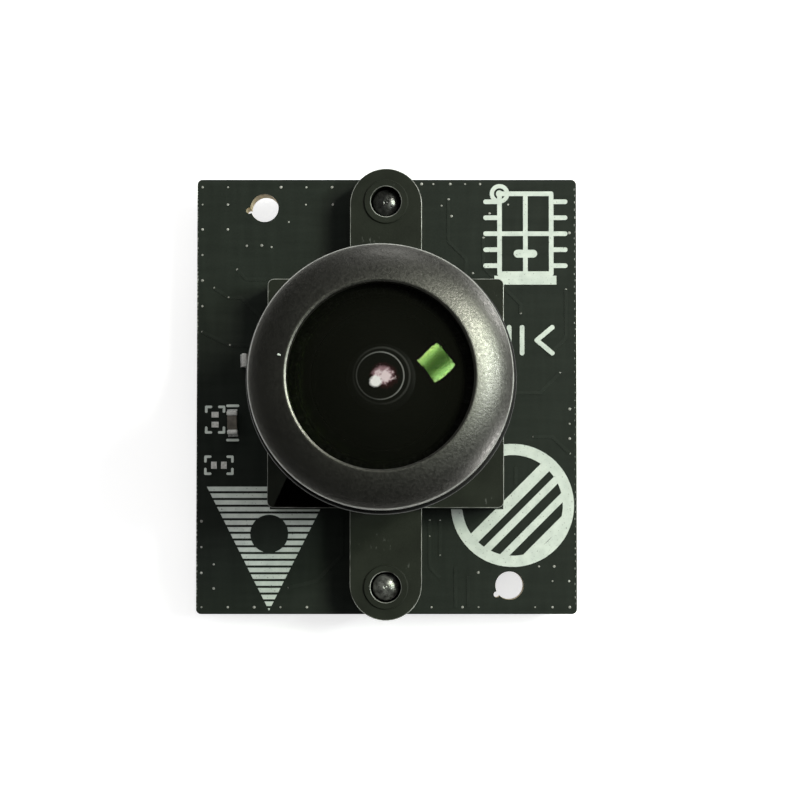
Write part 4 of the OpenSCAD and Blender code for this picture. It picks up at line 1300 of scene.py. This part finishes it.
@dataclass
class RearChips:
    """The packaged chips on the back: their bodies, leads and first-pin dots."""

    wardrobe: Wardrobe
    body_round: float = 0.05
    regulator_l: float = 2.9

    def build(self) -> None:
        """Builds and dresses every packaged chip."""
        self.leaded("image_processor", 0.04, 0.03)
        self.leaded("flash_memory", self.body_round, 0.22)
        self.leaded("voltage_regulators", self.body_round, 0.2)
        self.wardrobe.dress(solid_copy("crystal", "crystal_dressed", 0.06), Body.MODULE, Slot.CAN,
                            [], ["crystal"])
        inductor = solid_copy("power_inductor", "inductor_dressed", 0.08)
        top = span_mm("circuit_board")[0].z
        cover(inductor, lambda spot, normal: spot.z > top - 0.125 and abs(normal.z) < 0.9)
        self.wardrobe.dress(inductor, Body.MODULE, Slot.FERRITE, [Slot.PAD], ["power_inductor"])
        self.dots()

    def leaded(self, node: str, cut: float, reach_share: float) -> None:
        """A chip whose outer faces are metal leads.

        Args:
            node: the solid's name.
            cut: how far its edges are rounded.
            reach_share: the share of its width, at each side, that is only leads.
        """
        piece = solid_copy(node, f"{node}_dressed", cut * 0.6)
        boxes = islands(node)
        for face in piece.data.polygons:
            spot = face.center / MM
            low, high = min(boxes, key=lambda b: ((b[0] + b[1]) / 2 - spot).xy.length)
            size = high - low
            if node == "image_processor":
                inside = min(spot.x - low.x, high.x - spot.x, spot.y - low.y, high.y - spot.y)
                metal = spot.z > high.z - 0.11 and inside < 0.05 + cut
            else:
                gap_x = min(spot.x - low.x, high.x - spot.x) / size.x
                gap_y = min(spot.y - low.y, high.y - spot.y) / size.y
                if node == "flash_memory":
                    metal = gap_x < reach_share * 0.75
                else:
                    standing = abs(size.y - self.regulator_l) < 0.05
                    metal = (gap_x if standing else gap_y) < reach_share * 0.95
            face.material_index = 1 if metal else 0
        self.wardrobe.dress(piece, Body.MODULE, Slot.EPOXY, [Slot.PAD], [node])

    def dots(self) -> None:
        """Shallow round first-pin dots on the processor and the memory."""
        dot = turned("dot_shape", eased([(0.0, -0.012, 0.0), (0.22, -0.012, 0.0),
                                         (0.25, 0.01, 0.0), (0.0, 0.01, 0.0)], 2), 32)
        places = []
        for node, inset in (("image_processor", 0.7), ("flash_memory", 1.6)):
            low, high = span_mm(node)
            places.append((low.x + inset, high.y - 0.7, low.z, 0.0, 1.0))
        piece = grown("first_pin_dots", scatter_tree(), point_mesh("first_pin_dots", places),
                      Shape=dot, Finish=self.wardrobe.material(Slot.LATCH))
        bpy.data.objects.remove(dot)
        self.wardrobe.dress(piece, Body.MODULE, Slot.EPOXY)


# ---------------------------------------------------------------- lens holder and screws


@dataclass
class Holder:
    """The moulded lens holder, its screws and the sealed stack over the sensor."""

    wardrobe: Wardrobe
    edge_round: float = 0.07

    def build(self) -> None:
        """Builds and dresses the holder, the screws and the sensor stack."""
        # material 1 on the rounded edges is a painted highlight; the lips round the screw holes
        # are set back to plain plastic
        piece = solid_copy("lens_holder", "holder_moulding", self.edge_round, 2, 1)
        for node in ("upper_screw", "lower_screw"):
            low, high = span_mm(node)
            middle = Vector((0.0, (low.y + high.y) / 2))
            for face in piece.data.polygons:
                spot = face.center / MM
                if 1.1 < (spot.xy - middle).length < 1.7 and spot.z > high.z:
                    face.material_index = 0
        self.wardrobe.dress(piece, Body.MODULE, Slot.HOLDER, [EDGE_PAINTED_HIGHLIGHT], ["lens_holder"])
        # the lower screw takes lighter copies of the same finishes: painted reflection
        Screw(self.wardrobe, "upper_screw", Slot.SCREW, BLACKED_TIP).build()
        Screw(self.wardrobe, "lower_screw", Slot.BRIGHT_SCREW, TIP_PAINTED_REFLECTION).build()
        for node, slot in (("sensor_package", Slot.PACKAGE), ("sensor_die", Slot.SILICON),
                           ("sensor_cover_glass", Slot.CLEAR), ("infrared_filter", Slot.FILTER)):
            self.wardrobe.paint(node, slot)


@dataclass
class Screw:
    """A thread-forming screw: its head on the back, its threaded tip in the ear."""

    wardrobe: Wardrobe
    node: str
    slot: Slot
    tip: Finish
    pitch: float = 0.35
    turns: float = 3.0
    crest_r: float = 0.84
    core_r: float = 0.76
    tip_drop: float = 0.02

    def build(self) -> None:
        """Builds the head from the solid, and winds the thread round a blunt core."""
        low, high = span_mm(self.node)
        y = (low.y + high.y) / 2
        head = solid_copy(self.node, f"{self.node}_head", 0.05)
        foot, top = high.z - 1.4, high.z - self.tip_drop
        dome = arc((0.0, top - 1.3), 1.3, 56.0, 85.0, 12)
        core = turned(f"{self.node}_core", [
            (0.0, foot), (self.core_r, foot), (self.core_r, top - 0.28), *dome,
            (0.09, top - 0.04), (0.0, top - 0.06)], 48, (0.0, y), 40.0)
        ridge = loop_mesh("screw_ridge", [(0.0, -0.12), (0.2, -0.02), (0.2, 0.02), (0.0, 0.12)])
        thread = grown(f"{self.node}_thread", thread_tree(), ridge, Turns=self.turns,
                       Foot_Radius=(self.crest_r - 0.2) * MM,
                       Tip_Radius=(self.core_r - 0.14) * MM,
                       Rise=self.turns * self.pitch * MM, Steps=32,
                       Finish=self.wardrobe.material(self.slot))
        thread_foot = top - 0.16 - self.turns * self.pitch
        thread.data.transform(Matrix.Translation((0.0, y * MM, thread_foot * MM)))
        piece = joined(f"{self.node}_dressed", [head, core, thread])
        tip = Vector((0.0, y, top))
        cover(piece, lambda spot, normal: (
            (spot - tip).z > -0.3 and (spot - tip).xy.length < self.core_r))
        self.wardrobe.dress(piece, Body.MODULE, self.slot, [self.tip], [self.node])


# ---------------------------------------------------------------- lens


@dataclass
class Lens:
    """The lens that turns in the holder: barrel, front ring and glass."""

    wardrobe: Wardrobe
    flange_r: float = 7.0
    flange_h: float = 1.2
    edge: float = 0.2
    body_r: float = 5.83
    root_r: float = 5.68
    crest_r: float = 5.98
    groove_r: float = 5.55
    groove_h: float = 0.5
    pitch: float = 0.5
    ring_r: float = 6.8
    ring_wall: float = 0.6
    ring_h: float = 2.8
    opening_r: float = 4.76
    rim: float = 0.06
    dome_r: float = 9.0
    glass_r: float = 5.25

    def __post_init__(self) -> None:
        """Reads the heights of the lens's parts from the frame."""
        self.face = span_mm("front_ring")[0].z
        self.rear = span_mm("lens_barrel")[0].z
        self.collar = span_mm("lens_barrel")[1].z
        self.vertex = span_mm("front_element")[1].z
        self.mouth = span_mm("lens_holder")[1].z

    def build(self) -> None:
        """Builds and dresses every piece of the lens."""
        self.barrel()
        self.thread()
        self.ring()
        self.front_glass()
        self.second_glass()
        for node, slot in (("seal_ring", Slot.RUBBER), ("front_spacer", Slot.FLOCK),
                           ("third_element", Slot.INNER_GLASS), ("aperture_stop", Slot.FLOCK),
                           ("fourth_element", Slot.INNER_GLASS), ("rear_spacer", Slot.FLOCK),
                           ("rear_element", Slot.INNER_GLASS), ("rear_retainer", Slot.BARREL)):
            self.wardrobe.paint(node, slot)

    def barrel(self) -> None:
        """The barrel with its flange, run-out groove and stepped bore."""
        under = self.face - self.flange_h
        profile = eased([
            (2.35, self.face - 5.0, 0.0), (3.4, self.face - 5.0, 0.0), (3.4, self.rear, 0.1),
            (self.body_r, self.rear, 0.3), (self.body_r, self.mouth - 0.1, 0.0),
            (self.root_r, self.mouth + 0.05, 0.0), (self.root_r, under - self.groove_h, 0.0),
            (self.groove_r, under - self.groove_h, 0.0), (self.groove_r, under, 0.08),
            (self.flange_r, under, self.edge), (self.flange_r, self.face, self.edge),
            (self.ring_r - self.ring_wall - 0.01, self.face, 0.0),
            (self.ring_r - self.ring_wall - 0.01, self.collar, 0.08),
            (5.3, self.collar, 0.1), (5.3, self.face - 0.1, 0.0), (3.65, self.face - 0.1, 0.0),
            (3.65, self.face - 4.4, 0.0), (2.35, self.face - 4.4, 0.0)])
        piece = turned("lens_barrel_turned", profile, 288)
        cover(piece, lambda spot, normal: spot.xy.length < 5.5 and spot.z > self.face - 5.1)
        self.wardrobe.dress(piece, Body.LENS, Slot.BARREL, [Slot.FLOCK], ["lens_barrel"])

    def thread(self) -> None:
        """The screw thread that shows between the holder and the flange."""
        foot = self.mouth + 0.2
        rise = self.face - self.flange_h - self.groove_h - 0.1 - foot
        depth = self.crest_r - self.root_r
        ridge = loop_mesh("lens_ridge", [
            (-0.04, -self.pitch * 0.48), (depth, -self.pitch * 0.08), (depth, self.pitch * 0.08),
            (-0.04, self.pitch * 0.48)])
        piece = grown("lens_thread", thread_tree(), ridge, Turns=rise / self.pitch,
                      Foot_Radius=self.root_r * MM, Tip_Radius=self.root_r * MM, Rise=rise * MM,
                      Steps=160, Finish=self.wardrobe.material(Slot.BARREL))
        piece.data.transform(Matrix.Translation((0.0, 0.0, foot * MM)))
        self.wardrobe.dress(piece, Body.LENS, Slot.BARREL)

    def ring(self) -> None:
        """The front ring, whose rounded crown leads in to the glass."""
        slopes = ((self.opening_r, -24.0), (self.opening_r + 0.075, -21.0),
                  (self.opening_r + 0.12, 0.0), (self.opening_r + 0.19, 12.0),
                  (self.ring_r - 0.78, 26.0), (self.ring_r - 0.3, 37.0),
                  (self.ring_r - self.rim, 45.0))
        crown = sloped(slopes, self.face + self.ring_h, 60)
        rim_z = crown[-1][1] - 2.0 * self.rim
        roof = self.face + 1.75
        profile = eased([(self.ring_r - self.ring_wall, self.face, 0.0),
                         (self.ring_r, self.face, 0.1), (self.ring_r, rim_z, 0.02)], 4)
        profile += crown[::-1]
        profile += [(self.opening_r, roof), (self.ring_r - self.ring_wall, roof)]
        piece = turned("front_ring_turned", profile, 384)
        # the outer rim takes a lighter grey finish: painted highlight
        cover(piece, lambda spot, normal: (
            spot.xy.length > self.ring_r - self.rim and spot.z > rim_z - 0.02))
        self.wardrobe.dress(piece, Body.LENS, Slot.RING, [RIM_PAINTED_HIGHLIGHT], ["front_ring"])
        self.nick(crown)

    def nick(self, crown: Sequence[Point]) -> None:
        """A nick in the ring's black finish, at the left of the opening."""
        reach, turn = self.opening_r + 0.41, math.radians(168.5)
        height = next(z for radius, z in crown if radius >= reach)
        piece = rounded_block("ring_nick", Vector((-0.12, -0.05, -0.04)),
                              Vector((0.12, 0.05, 0.018)), 0.02)
        piece.data.transform(Matrix.Translation((
            reach * math.cos(turn) * MM, reach * math.sin(turn) * MM, height * MM))
            @ Matrix.Rotation(math.radians(-14.0), 4, "Z"))
        self.wardrobe.dress(piece, Body.LENS, Slot.RING, [Slot.INK])
        cover(piece, lambda spot, normal: True)

    def front_glass(self) -> None:
        """The large domed front element; its hollow side lets everything through."""
        seat, roof = self.face - 0.1, self.face + 1.75
        edge_r = self.opening_r - 0.02
        steps = 90
        reach = math.degrees(math.asin(edge_r / self.dome_r))
        dome = arc((0.0, self.vertex - self.dome_r), self.dome_r, 90.0, 90.0 - reach, steps)
        dome[0] = (0.0, self.vertex)
        hollow_r, hollow_z = 4.4, self.vertex - 1.1 - 4.4
        low = math.degrees(math.asin((seat - hollow_z) / hollow_r))
        hollow = arc((0.0, hollow_z), hollow_r, low, 90.0, steps)
        hollow[-1] = (0.0, self.vertex - 1.1)
        profile = dome + [(self.glass_r, roof), (self.glass_r, seat)] + hollow
        piece = turned("front_glass_turned", profile, 320, angle=20.0)
        cover(piece, lambda spot, normal: (
            normal.z < 0.0 and spot.z < self.vertex - 1.0 and spot.xy.length < 4.35))
        self.wardrobe.dress(piece, Body.LENS, Slot.FRONT_GLASS, [CLEAR_FACE], ["front_element"])

    def second_glass(self) -> None:
        """The second element, inked black round its small clear middle, which carries a painted
        reflection and painted ring highlights.
        """
        low, high = span_mm("second_element")
        top = high.z
        profile = eased([
            (0.0, top - 0.02, 0.0), (1.6, top - 0.02, 0.2), (2.4, top - 0.32, 0.2),
            (3.4, top - 0.84, 0.1), (3.6, top - 0.86, 0.0), (3.6, low.z, 0.0),
            (0.0, low.z, 0.0)], 4)
        piece = turned("second_glass_turned", profile, 192)
        # material 1 on the flat middle carries the painted reflection and ring highlights
        cover(piece, lambda spot, normal: spot.z > top - 0.1 and normal.z > 0.9)
        self.wardrobe.dress(piece, Body.LENS, Slot.INNER_GLASS, [PUPIL_PAINTED_REFLECTION], ["second_element"])


# ---------------------------------------------------------------- cable connector


@dataclass
class Connector:
    """The flat-cable connector: housing, contacts with their solder, and the sliding latch."""

    wardrobe: Wardrobe
    pitch: float = 0.5
    tail_w: float = 0.2

    def build(self) -> None:
        """Builds and dresses the connector's pieces."""
        self.wardrobe.dress(solid_copy("connector_housing", "connector_housing_dressed", 0.04),
                            Body.MODULE, Slot.CONNECTOR, [], ["connector_housing"])
        self.wardrobe.dress(solid_copy("connector_latch", "connector_latch_dressed", 0.06, 2),
                            Body.LATCH, Slot.LATCH, [], ["connector_latch"])
        self.contacts()

    def contacts(self) -> None:
        """Every contact's spring and tail, and the solder at each tail's toe."""
        boxes = islands("connector_contacts")
        low, high = boxes[0]
        low = Vector((low.x, min(b[0].y for b in boxes), low.z))
        board = high.z
        spring = rounded_block("contact_spring", Vector((low.x + 0.9, -0.1, low.z)),
                               Vector((high.x - 0.6, 0.1, board - 0.05)), 0.03)
        tail = rounded_block("contact_tail", Vector((low.x, -0.1, board - 0.17)),
                             Vector((high.x, 0.1, board)), 0.03)
        one = joined("contact_one", [spring, tail])
        toe = rounded_block("solder_toe", Vector((low.x - 0.22, -0.13, board - 0.09)),
                            Vector((low.x + 0.34, 0.13, board)), 0.045, 3)
        tree = row_tree()
        rows = []
        for name, part, finish in (("contact_row", one, Slot.CONTACT),
                                   ("solder_row", toe, SOLDER)):
            mesh = part.data.copy()
            bpy.data.objects.remove(part)
            rows.append(grown(name, tree, mesh, Count=len(boxes),
                              Start=(0.0, (low.y + self.tail_w / 2) * MM, 0.0),
                              Step=(0.0, self.pitch * MM, 0.0),
                              Finish=self.wardrobe.material(finish)))
        self.wardrobe.dress(joined("connector_contacts_dressed", rows), Body.MODULE, Slot.CONTACT,
                            [SOLDER], ["connector_contacts"])


# ---------------------------------------------------------------- floor, light and camera


@dataclass
class Studio:
    """A pale floor, a soft square key light, dim fill and the camera over the lens."""

    floor_half: float = 0.11
    key_side: float = 0.167
    key_distance: float = 0.5
    key_from_top: float = 39.3
    key_turn: float = 19.0
    key_roll: float = 23.0
    key_radiance: float = 28.0
    fill: tuple[float, float] = (0.14, 1.16)
    zenith: float = 0.03
    focal: float = 108.624
    camera_mm: tuple[float, float, float] = (2.595, -8.257, 142.51)
    tilt: float = 2.25
    floor_colour: float = 0.72
    floor_glow: float = 0.64
    key_middle: float = 0.25
    key_rise: float = 9.0
    shift: tuple[float, float] = (-0.042, 0.0584)

    def build(self) -> None:
        """Builds the floor, the world, the lamps and the camera."""
        self.floor()
        self.world()
        self.lamps()
        self.camera()

    def floor(self) -> None:
        """A plain pale floor that looks white yet keeps a soft shadow."""
        half = self.floor_half
        mesh = bpy.data.meshes.new("floor")
        mesh.from_pydata([(-half, -half, 0.0), (half, -half, 0.0), (half, half, 0.0),
                          (-half, half, 0.0)], [], [(0, 1, 2, 3)])
        piece = put("floor", mesh)
        material = bpy.data.materials.new("pale_floor")
        material.use_nodes = True
        tree = material.node_tree
        tree.nodes.clear()
        out = tree.nodes.new("ShaderNodeOutputMaterial")
        diffuse = tree.nodes.new("ShaderNodeBsdfDiffuse")
        diffuse.inputs["Color"].default_value = (*[self.floor_colour] * 3, 1.0)
        glow = tree.nodes.new("ShaderNodeEmission")
        path = tree.nodes.new("ShaderNodeLightPath")
        seen = tree.nodes.new("ShaderNodeMath")
        seen.operation = "MAXIMUM"
        also = tree.nodes.new("ShaderNodeMath")
        also.operation = "MAXIMUM"
        level = tree.nodes.new("ShaderNodeMath")
        level.operation = "MULTIPLY"
        level.inputs[1].default_value = self.floor_glow
        total = tree.nodes.new("ShaderNodeAddShader")
        link = tree.links.new
        link(path.outputs["Is Camera Ray"], seen.inputs[0])
        link(path.outputs["Is Glossy Ray"], seen.inputs[1])
        link(seen.outputs[0], also.inputs[0])
        link(path.outputs["Is Transmission Ray"], also.inputs[1])
        link(also.outputs[0], level.inputs[0])
        link(level.outputs[0], glow.inputs["Strength"])
        link(diffuse.outputs[0], total.inputs[0])
        link(glow.outputs[0], total.inputs[1])
        link(total.outputs[0], out.inputs["Surface"])
        mesh.materials.append(material)

    def world(self) -> None:
        """White to the camera, brighter towards +Y as fill, and dim above in reflections."""
        world = bpy.data.worlds.new("studio")
        bpy.context.scene.world = world
        world.use_nodes = True
        tree = world.node_tree
        tree.nodes.clear()
        link = tree.links.new
        out = tree.nodes.new("ShaderNodeOutputWorld")
        back = tree.nodes.new("ShaderNodeBackground")
        path = tree.nodes.new("ShaderNodeLightPath")
        direction = tree.nodes.new("ShaderNodeTexCoord")
        parts = tree.nodes.new("ShaderNodeSeparateXYZ")
        link(direction.outputs["Generated"], parts.inputs[0])
        walls = []
        for axis, ends in (("Y", (-0.8, 0.8, *self.fill)),
                           ("Z", (-0.35, -0.12, 1.0, self.zenith))):
            wall = tree.nodes.new("ShaderNodeMapRange")
            for name, value in zip(("From Min", "From Max", "To Min", "To Max"), ends):
                wall.inputs[name].default_value = value
            link(parts.outputs[axis], wall.inputs["Value"])
            walls.append(wall.outputs[0])
        clear = tree.nodes.new("ShaderNodeMath")
        clear.operation = "MAXIMUM"
        link(path.outputs["Is Glossy Ray"], clear.inputs[0])
        link(path.outputs["Is Transmission Ray"], clear.inputs[1])
        wall = tree.nodes.new("ShaderNodeMix")
        link(clear.outputs[0], wall.inputs["Factor"])
        link(walls[0], wall.inputs["A"])
        link(walls[1], wall.inputs["B"])
        shown = tree.nodes.new("ShaderNodeMix")
        shown.inputs["B"].default_value = 1.0
        link(path.outputs["Is Camera Ray"], shown.inputs["Factor"])
        link(wall.outputs[0], shown.inputs["A"])
        link(shown.outputs[0], back.inputs["Strength"])
        link(back.outputs[0], out.inputs["Surface"])

    def lamp(self, name: str, side: float, radiance: float, from_top: float, turn: float,
             roll: float) -> bpy.types.Light:
        """A square lamp that faces the lens.

        Args:
            name: its name.
            side: its side, in metres.
            radiance: how bright its face is.
            from_top: its angle from straight above, in degrees.
            turn: its angle round the lens from +X, in degrees.
            roll: its own turn, in degrees.

        Returns:
            The lamp's data.
        """
        lamp = bpy.data.lights.new(name, "AREA")
        lamp.shape = "SQUARE"
        lamp.size = side
        lamp.energy = radiance * math.pi * side**2
        piece = bpy.data.objects.new(name, lamp)
        bpy.context.scene.collection.objects.link(piece)
        down, around = math.radians(from_top), math.radians(turn)
        towards = Vector((math.sin(down) * math.cos(around), math.sin(down) * math.sin(around),
                          math.cos(down)))
        piece.location = towards * self.key_distance + Vector((0.0, 0.0, 0.018))
        aim = towards.to_track_quat("Z", "Y")
        spin = Matrix.Rotation(math.radians(roll), 3, "Z").to_quaternion()
        piece.rotation_euler = (aim @ spin).to_euler()
        return lamp

    def lamps(self) -> None:
        """The square key lamp, brighter along two of its sides, and three low cards."""
        key = self.lamp("key", self.key_side, self.key_radiance, self.key_from_top,
                        self.key_turn, self.key_roll)
        key.use_nodes = True
        tree = key.node_tree
        link = tree.links.new
        emission = next(n for n in tree.nodes if n.type == "EMISSION")
        place = tree.nodes.new("ShaderNodeNewGeometry")
        across = tree.nodes.new("ShaderNodeSeparateXYZ")
        off = tree.nodes.new("ShaderNodeMath")
        off.operation = "SUBTRACT"
        off.inputs[1].default_value = 0.5
        square = tree.nodes.new("ShaderNodeMath")
        square.operation = "MULTIPLY"
        level = tree.nodes.new("ShaderNodeMath")
        level.operation = "MULTIPLY_ADD"
        level.inputs[1].default_value = self.key_rise
        level.inputs[2].default_value = self.key_middle
        tint = tree.nodes.new("ShaderNodeValToRGB")
        tint.color_ramp.elements.new(0.5)
        for element, spot, colour in zip(tint.color_ramp.elements, (0.0, 0.5, 1.0), (
                (1.0, 1.0, 1.1), (0.7, 1.0, 0.5), (1.08, 1.0, 1.0))):
            element.position = spot
            element.color = (*colour, 1.0)
        link(place.outputs["Parametric"], across.inputs[0])
        link(across.outputs["X"], off.inputs[0])
        link(off.outputs[0], square.inputs[0])
        link(off.outputs[0], square.inputs[1])
        link(square.outputs[0], level.inputs[0])
        link(across.outputs["X"], tint.inputs[0])
        link(level.outputs[0], emission.inputs["Strength"])
        link(tint.outputs[0], emission.inputs["Color"])
        self.lamp("top_card", 0.16, 2.6, 72.0, 86.0, 0.0)
        self.lamp("side_card", 0.09, 22.0, 84.0, 34.0, 0.0)
        self.lamp("low_card", 0.08, 32.0, 86.0, -30.0, 0.0)

    def camera(self) -> None:
        """A long lens that looks straight down past the module's lower end."""
        data = bpy.data.cameras.new("camera")
        data.sensor_width = 36.0
        data.lens = self.focal
        data.shift_x, data.shift_y = self.shift
        data.clip_start, data.clip_end = 0.005, 10.0
        piece = bpy.data.objects.new("camera", data)
        bpy.context.scene.collection.objects.link(piece)
        piece.location = Vector(self.camera_mm) * MM
        piece.rotation_euler = (math.radians(self.tilt), 0.0, 0.0)
        bpy.context.scene.camera = piece


def main() -> None:
    """Builds the studio and every sub-assembly in order."""
    logging.basicConfig(level=logging.INFO, format="%(name)s: %(message)s")
    bpy.context.scene.view_settings.view_transform = "Standard"
    wardrobe = Wardrobe()
    Studio().build()
    Board(wardrobe).build()
    for node, slot, body in (("front_capacitor", Slot.CERAMIC, GREY_CERAMIC),
                             ("side_component", Slot.CERAMIC, GREY_CERAMIC),
                             ("rear_capacitors", Slot.CERAMIC, None),
                             ("rear_resistors", Slot.GLAZE, None)):
        EndCapChips(wardrobe, node, slot, body).build()
    RearChips(wardrobe).build()
    Holder(wardrobe).build()
    Lens(wardrobe).build()
    Connector(wardrobe).build()


if __name__ == "__main__":
    main()
